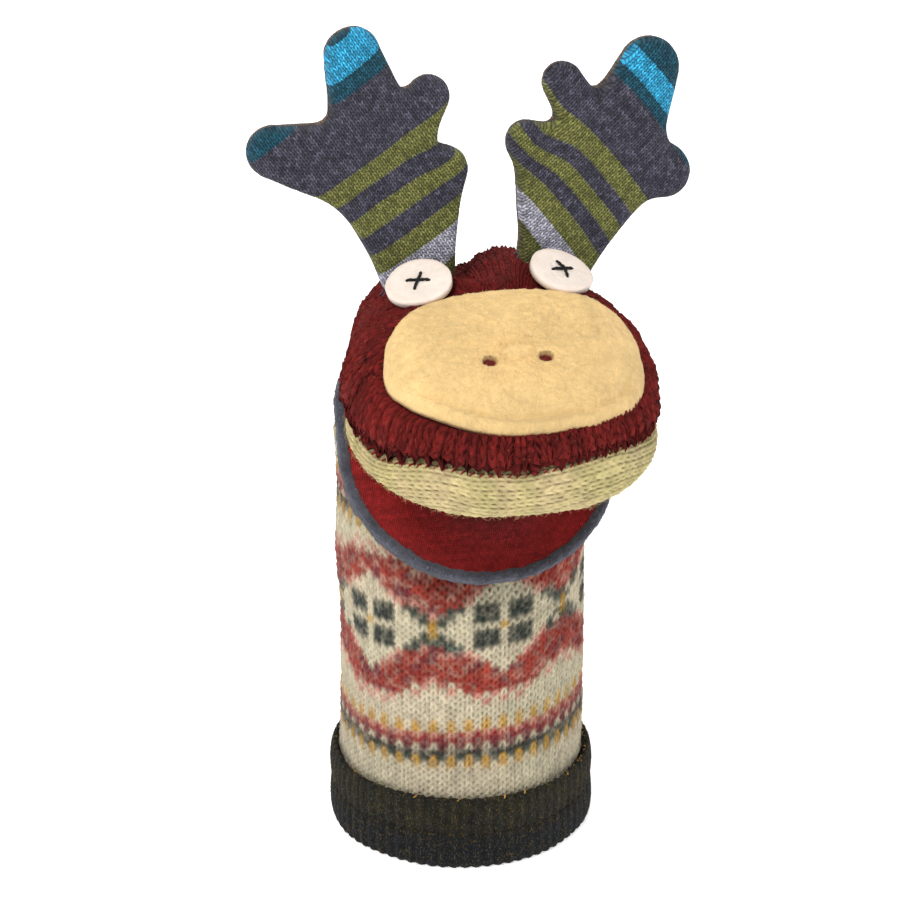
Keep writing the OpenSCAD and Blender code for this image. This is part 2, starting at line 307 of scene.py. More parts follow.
def wool(name, base=None, fibre=0.45, rough=0.93, sheen=0.1, depth=0.55, bump=0.5, vary=0.5,
         patch=0.18, flecks=None, fleck_amount=0.5, tint=(1, 1, 1), heather=None, stitch=0.5):
    """Woollen yarn or felt. base is one colour, or None to read each vertex's own.
    fibre is the size of a fibre clump in mm, depth how much painted shade darkens the grooves between
    stitches.
    heather, for knit drawn by the material, is how far one stitch's tone strays; stitch is its height."""
    k = Nodes(name)
    coord = k.add("ShaderNodeTexCoord").outputs["Object"]

    def tex(size, detail=3, stretch=None):
        source = coord
        if stretch:
            mp = k.add("ShaderNodeMapping")
            mp.inputs["Scale"].default_value = stretch
            k.link(coord, mp.inputs["Vector"])
            source = mp.outputs[0]
        n = k.add("ShaderNodeTexNoise", Scale=1 / (size * MM), Detail=detail, Roughness=0.6)
        k.link(source, n.inputs["Vector"])
        return n.outputs["Fac"]

    if base is None:
        colour = k.add("ShaderNodeAttribute", attribute_name="Col").outputs["Color"]
    else:
        colour = k.mix("MIX", 0.0, base, base)
    fine = tex(fibre, 4)
    long = tex(fibre * 1.6, 3, (1, 1, 0.35))
    broad = tex(fibre * 22, 2)
    if flecks:
        dots = k.math("GREATER_THAN", tex(fibre * 1.3, 2, (1.0, 1.0, 0.5)), 0.655 - 0.05 * fleck_amount)
        hue = k.ramp(tex(fibre * 3.0, 1), [(0.3 + 0.4 * i / max(1, len(flecks) - 1), c)
                                           for i, c in enumerate(flecks)])
        colour = k.mix("MIX", k.math("MULTIPLY", dots, 0.75), colour, hue)

    def line(value, gain, start):
        return k.math("ADD", k.math("MULTIPLY", value, gain), start)

    shade = k.math("MULTIPLY", line(fine, vary, 1 - vary * 0.5), line(long, vary * 0.7, 1 - vary * 0.35))
    shade = k.math("MULTIPLY", shade, line(broad, patch * 2, 1 - patch))
    # painted shade: depth darkens the grooves between stitches, where the relief is low
    if heather is not None:
        relief, tone = knit_nodes(k, heather)
        shade = k.math("MULTIPLY", k.math("MULTIPLY", shade, tone), line(relief, depth, 1 - depth))
    elif depth:
        relief = k.add("ShaderNodeAttribute", attribute_name="relief").outputs["Fac"]
        shade = k.math("MULTIPLY", shade, line(k.math("POWER", relief, 0.7), depth, 1 - depth))
    grey = k.add("ShaderNodeCombineColor")
    for i in range(3):
        k.link(shade, grey.inputs[i])
    colour = k.mix("MULTIPLY", 1.0, colour, grey.outputs[0])
    k.link(colour, k.bsdf.inputs["Base Color"])
    k.bsdf.inputs["Roughness"].default_value = rough
    k.bsdf.inputs["Specular IOR Level"].default_value = 0.2
    k.bsdf.inputs["Sheen Weight"].default_value = sheen
    k.bsdf.inputs["Sheen Roughness"].default_value = 0.5
    k.bsdf.inputs["Sheen Tint"].default_value = (*tint, 1)
    b = k.add("ShaderNodeBump", Strength=bump, Distance=fibre * 0.9 * MM)
    k.link(k.math("ADD", fine, long), b.inputs["Height"])
    if heather is not None:
        b2 = k.add("ShaderNodeBump", Strength=0.9, Distance=stitch * MM)
        k.link(relief, b2.inputs["Height"])
        k.link(b2.outputs[0], b.inputs["Normal"])
    k.link(b.outputs[0], k.bsdf.inputs["Normal"])
    return k.m


# Colours, linear. Chosen for reclaimed wool.
CREAM = np.array((0.58, 0.51, 0.38))
RED = np.array((0.30, 0.032, 0.028))
RED_ORANGE = np.array((0.40, 0.055, 0.035))
MAROON = np.array((0.13, 0.022, 0.028))
PINK = np.array((0.56, 0.25, 0.20))
GREEN = np.array((0.038, 0.045, 0.037))
OCHRE = np.array((0.50, 0.28, 0.05))
CHUNKY = np.array((0.165, 0.0100, 0.0085))
LIP = np.array((0.62, 0.49, 0.275))
CHARCOAL = np.array((0.062, 0.060, 0.085))
OLIVE = np.array((0.165, 0.170, 0.050))
LAVENDER = np.array((0.42, 0.42, 0.50))
TEAL = np.array((0.012, 0.075, 0.115))
BLUE = np.array((0.035, 0.36, 0.62))
BROWN = np.array((0.15, 0.095, 0.065))
PATCH = np.array((0.80, 0.56, 0.25))
EYE = np.array((0.86, 0.755, 0.67))
GREY = np.array((0.085, 0.086, 0.115))
JERSEY = np.array((0.30, 0.016, 0.018))

M_SLEEVE = wool("sleeve_wool", fibre=0.5, sheen=0.10, depth=0.50, bump=0.8, vary=0.85, patch=0.12)
M_BAND = wool("neck_wool", fibre=0.5, sheen=0.12, depth=0.6, bump=0.7, vary=0.6, heather=0.15)
M_CUFF = wool("cuff_wool", fibre=0.5, sheen=0.03, depth=0.7, bump=0.7, vary=0.6,
              flecks=[(0.13, 0.10, 0.02), (0.015, 0.03, 0.05), (0.12, 0.07, 0.015), (0.07, 0.075, 0.02)],
              fleck_amount=1.5)
M_CHUNKY = wool("chunky_red_wool", fibre=0.5, sheen=0.02, depth=0.84, bump=0.9, vary=0.9, patch=0.15,
                flecks=[(0.30, 0.05, 0.02), (0.06, 0.01, 0.02), (0.34, 0.14, 0.04)], fleck_amount=0.2,
                tint=(1.0, 0.3, 0.25))
M_LIP = wool("lip_wool", fibre=0.45, sheen=0.08, depth=0.62, bump=0.8, vary=0.5)
M_FELT = wool("boiled_wool", fibre=0.55, sheen=0.12, depth=0, bump=1.0, vary=0.42, patch=0.10)
M_EYE = wool("ivory_felt", fibre=0.4, sheen=0.1, depth=0, bump=0.8, vary=0.26, patch=0.05)
M_JERSEY = wool("red_jersey", fibre=0.35, sheen=0.05, depth=0.55, bump=0.5, vary=0.5, heather=0.16,
                stitch=0.3, tint=(1.0, 0.4, 0.35))
M_GREY = wool("grey_felt", fibre=0.5, sheen=0.15, depth=0, bump=1.0, vary=0.8,
              flecks=[(0.22, 0.23, 0.29), (0.015, 0.015, 0.022)], fleck_amount=0.6)
M_STRIPE = wool("striped_lambswool", fibre=0.3, sheen=0.05, depth=0.80, bump=0.5, vary=0.5, patch=0.08,
                heather=0.40)
M_BROWN = wool("brown_jersey", fibre=0.35, sheen=0.08, depth=0.6, bump=0.6, vary=0.6, heather=0.25)
M_BLACK = wool("black_yarn", fibre=0.3, sheen=0.05, depth=0, bump=0.8, vary=0.5)
M_FILL = wool("filling", fibre=0.8, sheen=0.2, depth=0, bump=0.8, vary=0.2)
M_LINING = wool("grey_lining", fibre=0.4, sheen=0.1, depth=0, bump=0.5, vary=0.4)
M_THREAD = wool("thread", fibre=0.25, sheen=0.05, depth=0, bump=0.6, vary=0.5)
M_FUZZ = wool("loose_fibres", fibre=2.0, sheen=0.0, depth=0, bump=0, vary=0.15)


# ---------------------------------------------------------------- yarn, thread and loose fibres

def tube(points, radius, sides=6, colour=(0, 0, 0), twist=0.0):
    """A closed round strand along points (n, 3); radius may vary along it. Returns points, faces, colour."""
    p = np.asarray(points, float)
    n = len(p)
    r = np.broadcast_to(np.asarray(radius, float), (n,))
    d = np.gradient(p, axis=0)
    d /= np.maximum(np.linalg.norm(d, axis=1, keepdims=True), 1e-9)
    ref = np.array([0.0, 0.0, 1.0])
    side = np.cross(d, ref)
    weak = np.linalg.norm(side, axis=1) < 0.2
    side[weak] = np.cross(d[weak], np.array([1.0, 0.0, 0.0]))
    side /= np.linalg.norm(side, axis=1, keepdims=True)
    for i in range(1, n):
        s = side[i - 1] - d[i] * np.dot(side[i - 1], d[i])
        if np.linalg.norm(s) > 1e-6:
            side[i] = s / np.linalg.norm(s)
    up = np.cross(side, d)
    rings = []
    for k in range(sides):
        a = 2 * math.pi * k / sides + twist * np.arange(n)
        rings.append(p + (side * np.cos(a)[:, None] + up * np.sin(a)[:, None]) * r[:, None])
    v = np.stack(rings, 1).reshape(-1, 3)
    faces = [list(f) for f in grid_faces(n, sides)]
    faces.append(list(range(sides))[::-1])
    faces.append([(n - 1) * sides + k for k in range(sides)])
    return v, faces, colour


def fuzz(name, points, normals, colours, count, length, thick, lift=0.5, seed=0):
    """Loose fibres: thin bent spikes that grow from random places on a surface."""
    r = np.random.default_rng(900 + seed)
    pick = r.integers(0, len(points), count)
    p, n, c = points[pick], normals[pick], colours[pick]
    t = r.normal(size=(count, 3))
    t -= n * np.sum(t * n, 1, keepdims=True)
    t /= np.maximum(np.linalg.norm(t, axis=1, keepdims=True), 1e-9)
    ln = length * (0.35 + 0.9 * r.random((count, 1)) ** 2)
    rise = lift * (0.3 + 0.9 * r.random((count, 1)))
    mid = p + (t * 0.5 + n * rise * 0.6) * ln
    bend = np.cross(n, t) * r.normal(size=(count, 1)) * 0.35
    tip = p + (t * 0.9 + n * rise * 0.75 + bend) * ln
    b = np.cross(n, t)
    root = p - n * 0.3
    v = np.stack([root + b * thick, root - b * thick, root + n * thick * 1.5,
                  mid + b * thick * 0.8, mid - b * thick * 0.8, mid + n * thick * 1.2, tip], 1)
    tri = np.array([[0, 1, 4], [0, 4, 3], [1, 2, 5], [1, 5, 4], [2, 0, 3], [2, 3, 5],
                    [3, 4, 6], [4, 5, 6], [5, 3, 6], [2, 1, 0]])
    faces = (np.arange(count)[:, None, None] * 7 + tri[None]).reshape(-1, 3)
    return mesh_piece(name, v, faces, M_FUZZ, np.repeat(c, 7, 0))


def strands(name, parts, body, slot, node, material=M_THREAD):
    """One piece made of several closed strands."""
    points, faces, colours = join_parts(parts)
    place(mesh_piece(name, points, faces, material, colours), body, slot, node)


SKINS = {}


def remember(name, points, normals, colours):
    """Keeps a skin's points for its loose fibres."""
    SKINS[name] = (points.reshape(-1, 3), normals.reshape(-1, 3), np.asarray(colours).reshape(-1, 3))


# ---------------------------------------------------------------- shells and outlines

def shell(name, out, inn, keep, material, colour, relief=1.0, wrap_u=True, knit=None):
    """A closed skin between two grids of the same size, for the quads where keep is true, or for all."""
    nv, nu = out.shape[:2]
    quads = grid_faces(nv, nu, wrap_u).reshape(nv - 1, -1, 4)
    if keep is None:
        keep = np.ones(quads.shape[:2], bool)
    n = nv * nu
    colour = np.broadcast_to(colour, (nv, nu, 3)).reshape(-1, 3)
    faces = [quads[keep], quads[keep][:, ::-1] + n]
    below = np.zeros_like(keep)
    below[1:] = keep[:-1]
    above = np.zeros_like(keep)
    above[:-1] = keep[1:]
    if wrap_u:
        left, right = np.roll(keep, 1, 1), np.roll(keep, -1, 1)
    else:
        left, right = np.zeros_like(keep), np.zeros_like(keep)
        left[:, 1:], right[:, :-1] = keep[:, :-1], keep[:, 1:]
    for other, (a, b) in ((below, (0, 1)), (right, (1, 2)), (above, (2, 3)), (left, (3, 0))):
        q = quads[keep & ~other]
        faces.append(np.stack([q[:, b], q[:, a], q[:, a] + n, q[:, b] + n], -1))
    faces = np.concatenate(faces)
    pts = np.concatenate([out.reshape(-1, 3), inn.reshape(-1, 3)])
    cols = np.concatenate([colour, np.broadcast_to(colour.mean(0) * 0.8, (n, 3))])
    rel = np.concatenate([np.broadcast_to(relief, (nv, nu)).ravel(), np.full(n, 0.6)])
    used, back = np.unique(faces, return_inverse=True)
    if knit is not None:
        knit = np.concatenate([np.asarray(knit, float).reshape(-1, 2)] * 2)[used]
    return mesh_piece(name, pts[used], back.reshape(faces.shape), material, cols[used], rel[used], knit)


def travelled(p):
    """Distance along each column of points from its first one."""
    steps = np.linalg.norm(np.diff(p, axis=0), axis=-1)
    return np.concatenate([np.zeros_like(steps[:1]), np.cumsum(steps, 0)])


def rounded(path, count, rounds):
    """Both columns of a short outline at count places along it, smoothed rounds times, and those places."""
    at = np.linspace(0, len(path) - 1, count)
    a, b = (np.interp(at, np.arange(len(path)), path[:, i]) for i in (0, 1))
    for _ in range(rounds):
        for q in (a, b):
            q[1:-1] = (q[:-2] + 2 * q[1:-1] + q[2:]) / 4
    return a, b, at


def outward(ring, middle):
    """Direction along a flat curve, and the unit direction away from its middle."""
    t = np.gradient(ring, axis=0)
    away = np.stack([t[:, 1], -t[:, 0]], -1)
    away /= np.linalg.norm(away, axis=1, keepdims=True)
    away *= np.sign(np.sum(away * (ring - middle), 1, keepdims=True))
    return t, away


def along(points, step_count, closed=False):
    """Points spread evenly along a polyline, and its length."""
    p = np.asarray(points, float)
    if closed:
        p = np.concatenate([p, p[:1]])
    s = travelled(p)
    t = np.linspace(0, s[-1], step_count, endpoint=not closed)
    return np.stack([np.interp(t, s, p[:, i]) for i in range(p.shape[1])], -1), s[-1]


def plan_w(y):
    """Half width of the head seen from above."""
    y = np.asarray(y, float)
    front = np.clip((WIDEST_Y - y) / (WIDEST_Y - HEAD_FRONT), 0, 1)
    a = MUZZLE_W * (1 - front ** 2.2) ** (1 / 2.2)
    b = MUZZLE_W + (BROW_W - MUZZLE_W) * smooth((y - WIDEST_Y) / -WIDEST_Y)
    c = BROW_W * (1 - np.clip(y / HEAD_BACK, 0, 1) ** 2.2) ** (1 / 2.2)
    return np.where(y < WIDEST_Y, a, np.where(y < 0, b, c))


def outline():
    """The head's outline seen from above, closed, from the back round by the puppet's left."""
    q = np.linspace(0, 1, 500)
    y = (HEAD_BACK + HEAD_FRONT) / 2 + (HEAD_BACK - HEAD_FRONT) / 2 * np.cos(q * math.pi)
    w = plan_w(y)
    return np.concatenate([np.stack([HEAD_DX + w, y], -1), np.stack([HEAD_DX - w, y], -1)[::-1][1:-1]])


def palate_z(y):
    """Height of the roof of the mouth."""
    return HINGE[2] + PALATE_RISE * (y - HINGE[1])


OUTLINE = outline()
NEAR = OUTLINE[::4]


def head_inset(angle, inset):
    """Distance from the sleeve's middle to the head's outline, less inset, towards each angle from -Y."""
    a = np.arctan2(OUTLINE[:, 0], -OUTLINE[:, 1])
    r = np.hypot(OUTLINE[:, 0], OUTLINE[:, 1])
    order = np.argsort(a)
    turned = np.mod(angle + math.pi, 2 * math.pi) - math.pi
    return np.interp(turned, a[order], r[order], period=2 * math.pi) - inset


# ---------------------------------------------------------------- sleeve

WALES = 88
COURSE = 3.13
BLOCK_AT = math.radians(7.9)
STAR_ROW_Z = 120.8
TILT = 0.075
NECK_START = 190.0


def band_pattern(wale, course):
    """Colour of each stitch: (wale, course) counted from the middle of a block flower."""
    w = np.mod(wale + 4, 16) - 4                 # -4..3 block, 4..11 star
    star = w > 4
    x = np.where(star, w - 8, w)
    far = np.abs(np.abs(np.mod(wale, 16) - 8) - 8) / 8.0      # 0 at a block, 1 at a star
    r = course
    col = np.empty(w.shape + (3,))
    col[:] = CREAM
    speck = cell(wale, course, 3)
    # the zigzag's two edges, in rows from the middle
    edge = np.maximum(7.2 - 5.2 * far, 3.0)
    outer = 11.0 - 7.0 * np.maximum(far - 0.45, 0)

    def paint(mask, c):
        col[mask] = c

    ar = np.abs(r)
    zig = (ar >= edge) & (ar < outer)
    mottled = RED * 0.6 + (RED_ORANGE - RED * 0.6) * speck[..., None]
    col[zig] = mottled[zig]
    paint(zig & (speck > 0.90), PINK * 0.8)
    paint(zig & (speck < 0.15), MAROON * 1.3)
    rim = (ar >= edge - 1) & (ar < edge) & (np.mod(wale + r, 2) < 1)
    paint(rim, PINK)
    rim = (ar >= outer) & (ar < outer + 1.2) & (np.mod(wale + r, 2) < 1)
    paint(rim, PINK)
    ax = np.abs(x)
    block = (~star) & (ax >= 1) & (ax <= 3) & (ar >= 1) & (ar <= 3)
    paint(block, GREEN)
    paint((~star) & (ax == 0) & (ar == 0), OCHRE)
    paint((~star) & (ax == 0) & (ar == 1), CREAM)
    arms = star & (((ar == 3) & (ax >= 2) & (ax <= 3)) | ((ar == 2) & (ax <= 2)) | ((ar == 1) & (ax == 1)))
    paint(arms & (speck > 0.08), GREEN * 1.4)
    paint(arms & (speck > 0.84), GREEN * 3.0)
    paint(star & (ax == 0) & (ar == 0), OCHRE)
    paint(star & (ax == 0) & (ar == 1), OCHRE * 0.7)
    for shift in (-19, 17):
        q = r - shift
        alt = np.mod(wale, 2) < 1
        paint((q == 4) & alt, OCHRE * 0.9 + CREAM * 0.2)
        paint((q == 3) & alt, OCHRE)
        paint((q == 3) & ~alt, CREAM * 0.9 + PINK * 0.1)
        paint((q == 2) & ~alt, RED)
        paint((q == 2) & alt, PINK)
        paint((q == 1) & alt, RED * 0.9)
        paint((q == 1) & ~alt, MAROON * 1.6)
        paint((q == 0) & alt, CREAM * 0.9)
        paint((q == 0) & ~alt, MAROON)
        paint(q == -1, GREEN * 0.9)
        paint((q == -1) & (speck < 0.2), CREAM * 0.45)
        paint((q == -2) & ~alt, GREEN * 1.8)
        paint((q == -2) & alt, OCHRE)
        paint((q == -3) & alt, OCHRE * 0.85 + CREAM * 0.1)
    top = r - 17
    paint((top == 7), LAVENDER * 0.9)
    paint((top == 8) & (np.mod(wale, 2) < 1), OCHRE * 0.8)
    paint((top == 10) | (top == 11), GREEN * 2.2)
    return col


RIM_BACK, RIM_FRONT = 225.0, 141.5


def rim_height(y):
    """Height of the sleeve's upper edge: under the head at the back, running down under the chin in front."""
    return np.minimum(RIM_BACK, RIM_FRONT + 1.30 * (y + 58.0) + 3.2 * np.maximum(y + 4.0, 0))


def drawn_in(z):
    """Share of the way from the sleeve's own width to the neck's."""
    return smooth((z - NECK_START) / 33)


def sleeve():
    """The patterned tube, six points to a wale, with every stitch raised."""
    nu, rows = WALES * 6, 186
    z0 = CUFF_H + 0.6
    psi = 2 * math.pi * np.arange(nu) / nu + math.pi
    psi = np.sort(np.mod(psi + math.pi, 2 * math.pi) - math.pi)
    u_wale = (psi - BLOCK_AT) / (2 * math.pi / WALES) + 0.5
    sx, cy = np.sin(psi), -np.cos(psi)
    top = rim_height(cy * SLEEVE_R)
    t = np.linspace(0, 1, rows)[:, None]
    z = z0 + (top[None] - z0) * t
    neck = head_inset(psi, 2.2)
    ripple = (noise(xyz(sx * 40, cy * 40, z), 34, 5) - 0.5) * 2.6
    waist = -1.0 * np.sin(np.clip((z - z0) / 150, 0, 1) * math.pi)
    r = SLEEVE_R - 1.3 + ripple + waist
    # the top is drawn in to the head, and the front edge is turned in, clear of the chin
    r = lerp(r, np.minimum(neck[None], SLEEVE_R + 2) + ripple * 0.3, drawn_in(z))
    tuck = 5.0 * smooth((-cy - 0.1) / 0.6)
    r = r - tuck * (1 - smooth((top - z) / 15))
    p = np.stack([sx * r, cy * r, z], -1)
    lean = TILT * smooth((z - 40) / 40)
    v_course = (z - STAR_ROW_Z - lean * p[..., 0]) / COURSE + 0.5
    u = np.broadcast_to(u_wale, z.shape)
    wob = (noise(p, 9, 8) - 0.5) * 0.5
    h, wale, course = stitches(u + wob * 0.25, -(v_course + wob))      # the knit is used upside down
    course = -1 - course
    n = grid_normals(p, True)
    n *= np.sign(np.sum(n[..., :2] * p[..., :2], -1, keepdims=True))
    felted = 0.75 + 0.5 * noise(p, 22, 9)
    size = 1.35 * (0.7 + 0.6 * cell(wale, course, 2)) * felted
    out = p + n * (h * size)[..., None]
    col = band_pattern(wale, course)
    for _ in range(3):                                          # felting draws the colours into each other
        blur = (np.roll(col, 1, 1) + np.roll(col, -1, 1) + np.roll(col, 1, 0) + np.roll(col, -1, 0)) / 4
        col = lerp(col, blur, 0.5)
    leg = np.floor(2 * (u + wob * 0.25))                        # each leg of a stitch has its own tone
    col = col * (0.76 + 0.30 * cell(leg, course, 4) + 0.26 * noise(p, 3.2, 16))[..., None]
    col = col * lerp(0.80, 1.0, smooth((p[..., 2:] - 40) / 60))
    grime = noise(p, 26, 12)[..., None]
    col = col * lerp(np.array((1.0, 0.97, 0.93)), np.array((0.93, 0.96, 0.90)), grime)
    haze = np.clip(noise(p, 2.0, 13) * 1.7 - 0.75, 0, 1)[..., None] * 0.34
    col = lerp(col, CREAM * 0.95, haze)
    inner = []
    for f in np.linspace(1, 0, 9):
        zi = z0 + (top - z0) * f
        ri = lerp(SLEEVE_R, np.minimum(neck, SLEEVE_R + 2), drawn_in(zi)) - 3.4
        ri = ri - tuck * (1 - smooth((top - zi) / 15))
        inner.append(np.stack([sx * ri, cy * ri, zi], -1))
    inner = np.array(inner)
    pts = np.concatenate([out, inner])
    cols = np.concatenate([col, np.broadcast_to(CREAM * 0.6, inner.shape)])
    rel = np.concatenate([h, np.full(inner.shape[:2], 0.8)])
    o = mesh_piece("sleeve_knit_fabric", pts, grid_faces(len(pts), nu, True, True), M_SLEEVE, cols, rel)
    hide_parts("sleeve_knit", "neck_gusset")
    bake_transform(o)
    low = z < NECK_START
    remember("sleeve", out[low], n[low], col[low])


def strip(name, low, high, rows, thick, colour, material, per, course):
    """A knitted strip between two lines of points, as a closed skin thick mm through."""
    t = np.linspace(0, 1, rows)[:, None, None]
    p = low[None] * (1 - t) + high[None] * t
    n = grid_normals(p, False)
    p = p + n * ((noise(p, 14, 14) - 0.5) * 1.4)[..., None]
    run = travelled(low)
    rise = t[..., 0] * np.linalg.norm(high - low, axis=1)[None]
    knit = np.stack(np.broadcast_arrays(run[None] / per, rise / course), -1)
    h, wale, row = stitches(knit[..., 0], knit[..., 1])
    col = colour * (0.8 + 0.4 * cell(wale, row, 15))[..., None]
    out = p + n * (0.5 * thick + 0.3 * h)[..., None]
    return shell(name, out, p - n * (0.5 * thick), None, material, col, h, False, knit)


def neck_and_throat():
    """The cloth that closes the neck behind the mouth corners, and the throat under the jaw."""
    a = np.radians(np.linspace(70, 290, 260))
    ring = head_inset(a, 5.0)
    sx, cy = np.sin(a), -np.cos(a)
    high = xyz(ring * sx, ring * cy, 232.0)
    low = xyz((SLEEVE_R - 6.5) * sx, (SLEEVE_R - 6.5) * cy, 204.0)
    o = strip("neck_inner_knit", low, high, 40, 1.6, CREAM * 0.8, M_BAND, 3.4, 2.8)
    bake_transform(o)
    x = np.linspace(-46.5, 46.5, 160)
    wall = -np.sqrt((SLEEVE_R - 10.0) ** 2 - x ** 2)
    under = HINGE + JAW_UP * -15.6
    slope = JAW_ON[2] / JAW_ON[1]

    def on_underside(y):
        return under[2] + slope * (y - under[1])

    low = np.stack([x, wall, rim_height(wall) - 16.0], -1)
    high = np.stack([x, wall + 3.5, on_underside(wall + 1.5) - 5.0], -1)
    o = strip("throat_inner_jersey", low, high, 34, 1.2, JERSEY * 0.6, M_JERSEY, 1.9, 1.5)
    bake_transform(o)
    low = np.stack([x, wall + 1.5, on_underside(wall + 1.5) - 14.0], -1)
    high = np.stack([x, wall + 7.0, on_underside(wall + 7.0)], -1)
    o = strip("throat_gusset_jersey", low, high, 34, 1.2, JERSEY * 0.7, M_JERSEY, 1.9, 1.5)
    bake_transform(o)


def back_seam():
    """Two raw edges overlocked together, hanging inside the back of the sleeve."""
    low, high = node_mm("sleeve_back_seam")
    parts = []
    z = np.linspace(low[2], high[2], 90)
    y0 = (low[1] + high[1]) / 2
    wav = np.sin(z * 0.35) * 0.35
    for x0 in (-2.2, 2.2):
        ring = []
        for a in np.linspace(0, 2 * math.pi, 12, endpoint=False):
            ring.append(xyz(x0 + 1.9 * math.cos(a) + wav, y0 + 0.9 * math.sin(a), z))
        g = np.stack(ring, 1)
        f = [list(q) for q in grid_faces(len(z), 12)]
        f += [list(range(12))[::-1], [len(z) * 12 - 12 + i for i in range(12)]]
        parts.append((g.reshape(-1, 3), f, CREAM * 0.75))
    zz = np.arange(low[2] + 2, high[2] - 2, 2.6)
    for i, zc in enumerate(zz):
        s = 1 if i % 2 else -1
        pts = np.array([[-4 * s, y0 - 1.0, zc], [0, y0 - 1.35, zc + 1.0], [4 * s, y0 - 1.0, zc + 2.2]])
        parts.append(tube(pts, 0.28, 5, RED * 0.8))
    strands("sleeve_back_seam_overlock", parts, "sleeve", "seam_tape", "sleeve_back_seam")


# ---------------------------------------------------------------- cuff

RIBS = 72
RIB_AT = 2 * math.pi * np.arange(RIBS * 8) / (RIBS * 8)
RIB_X, RIB_Y = np.sin(RIB_AT), -np.cos(RIB_AT)
CUFF_WAVE = noise(xyz(RIB_X * 60, RIB_Y * 60, 0), 30, 21) - 0.5


def cuff_band():
    """The ribbed band, folded round its lower edge."""
    sx, cy = RIB_X, RIB_Y
    prof = [(-2.6, 34.6), (-1.2, 35.2), (-0.5, 34.4), (0.2, 31), (0.5, 27), (0.3, 23), (0.0, 20.0),
            (-0.5, 18.2), (0.15, 16.6), (0.5, 12), (0.5, 7), (0.1, 3.4), (-0.7, 1.2), (-1.8, 0.25),
            (-2.9, 0.15)]
    pr, pz, s = rounded(np.array(prof), 110, 3)
    z = pz[:, None] + 0 * sx
    z = z + CUFF_WAVE * 2.2 * smooth((z - 16) / 16)
    at = xyz(sx * 60, cy * 60, z)
    r = CUFF_R - 0.6 + pr[:, None] + (noise(at, 22, 22) - 0.5) * 1.2
    u = np.broadcast_to(RIB_AT * RIBS / (2 * math.pi), z.shape)
    v = np.broadcast_to((s * 34 / (len(prof) - 1))[:, None], z.shape)
    rib = 0.5 + 0.5 * np.cos(2 * math.pi * u)
    h, wale, course = stitches(u * 2 + (noise(at, 6, 23) - 0.5) * 0.3, v)
    p = xyz(sx * r, cy * r, z)
    n = grid_normals(p, True)
    n *= np.sign(np.sum(n[..., :2] * p[..., :2], -1, keepdims=True) + 1e-9)
    relief = (0.35 + 0.65 * rib) * (0.5 + 0.5 * h)
    out = p + n * (0.75 * rib + 0.45 * h)[..., None]
    out[..., 2] = np.maximum(out[..., 2], 0.0)
    inner_r = CUFF_R - 3.1
    back = np.array([xyz(sx * inner_r, cy * inner_r, zz) for zz in (0.6, 8, 20, 33.5)])
    pts = np.concatenate([out, back])
    # painted shade: the lower half of the band, where it turns under, is darker than the upper half
    tone = lerp(np.array((0.0055, 0.0075, 0.0105)), np.array((0.016, 0.0145, 0.0075)),
                smooth((out[..., 2:] - 11) / 11) * (0.35 + 0.9 * noise(out, 5, 25)[..., None]))
    tone = tone * (0.6 + 0.8 * cell(wale, course, 26))[..., None]
    tone = np.concatenate([tone, np.broadcast_to(np.array((0.01, 0.011, 0.013)), back.shape)])
    o = mesh_piece("cuff_band_rib", pts, grid_faces(len(pts), len(sx), True, True), M_CUFF, tone,
                   np.concatenate([relief, np.full(back.shape[:2], 0.5)]))
    place(o, "sleeve", "cuff_rib", "cuff_band")
    gold = (cell(wale, course, 8) > 0.7)[..., None]
    fibre = np.where(gold, (0.16, 0.11, 0.03), (0.018, 0.018, 0.017))
    remember("cuff", out[3:-6], n[3:-6], fibre[3:-6])


def cuff_hem():
    """The layer of the band that is turned inside."""
    z = np.concatenate([[0.2], np.linspace(0, 1, 40) * (HEM_H - 0.4) + 0.2])[:, None]
    rib = 0.5 + 0.5 * np.cos(RIB_AT * RIBS)
    r_in, r_out = SLEEVE_R - 2.3 - 0.5 * rib, SLEEVE_R - 0.2
    inn = xyz(RIB_X * r_in, RIB_Y * r_in, z)
    outer = xyz(RIB_X * r_out, RIB_Y * r_out, z)[::-1]
    pts = np.concatenate([inn, outer])
    relief = np.concatenate([np.broadcast_to(rib, inn.shape[:2]), np.full(outer.shape[:2], 0.5)])
    o = mesh_piece("cuff_hem_turned", pts, grid_faces(len(pts), len(RIB_X), True, True), M_CUFF,
                   np.full(pts.shape, 0.012), relief)
    place(o, "sleeve", "cuff_rib", "cuff_hem")


def cuff_join():
    """Overlock loops where the cuff is sewn to the sleeve."""
    parts = []
    zc = CUFF_H + 2.6
    for a in np.arange(0, 2 * math.pi, 0.042):
        wv = float(np.interp(a, RIB_AT, CUFF_WAVE)) * 2.2
        tone = OCHRE * (0.5 + 0.8 * rng.random()) if rng.random() < 0.55 else np.array((0.05, 0.045, 0.03))
        if rng.random() < 0.35:
            continue
        d = 0.028 + 0.02 * rng.random()
        pts = []
        for q in np.linspace(0, 1, 5):
            rr = CUFF_R - 2.5 + 1.5 * math.sin(q * math.pi)
            aa = a + d * (q - 0.5)
            pts.append([math.sin(aa) * rr, -math.cos(aa) * rr, zc + wv - 0.6 + 1.3 * q + 0.3 * rng.random()])
        parts.append(tube(np.array(pts), 0.34, 5, tone))
    strands("cuff_join_stitching", parts, "sleeve", "ochre_thread", "cuff_join_thread")


sleeve()
neck_and_throat()
back_seam()
cuff_band()
cuff_hem()
cuff_join()


# ---------------------------------------------------------------- head

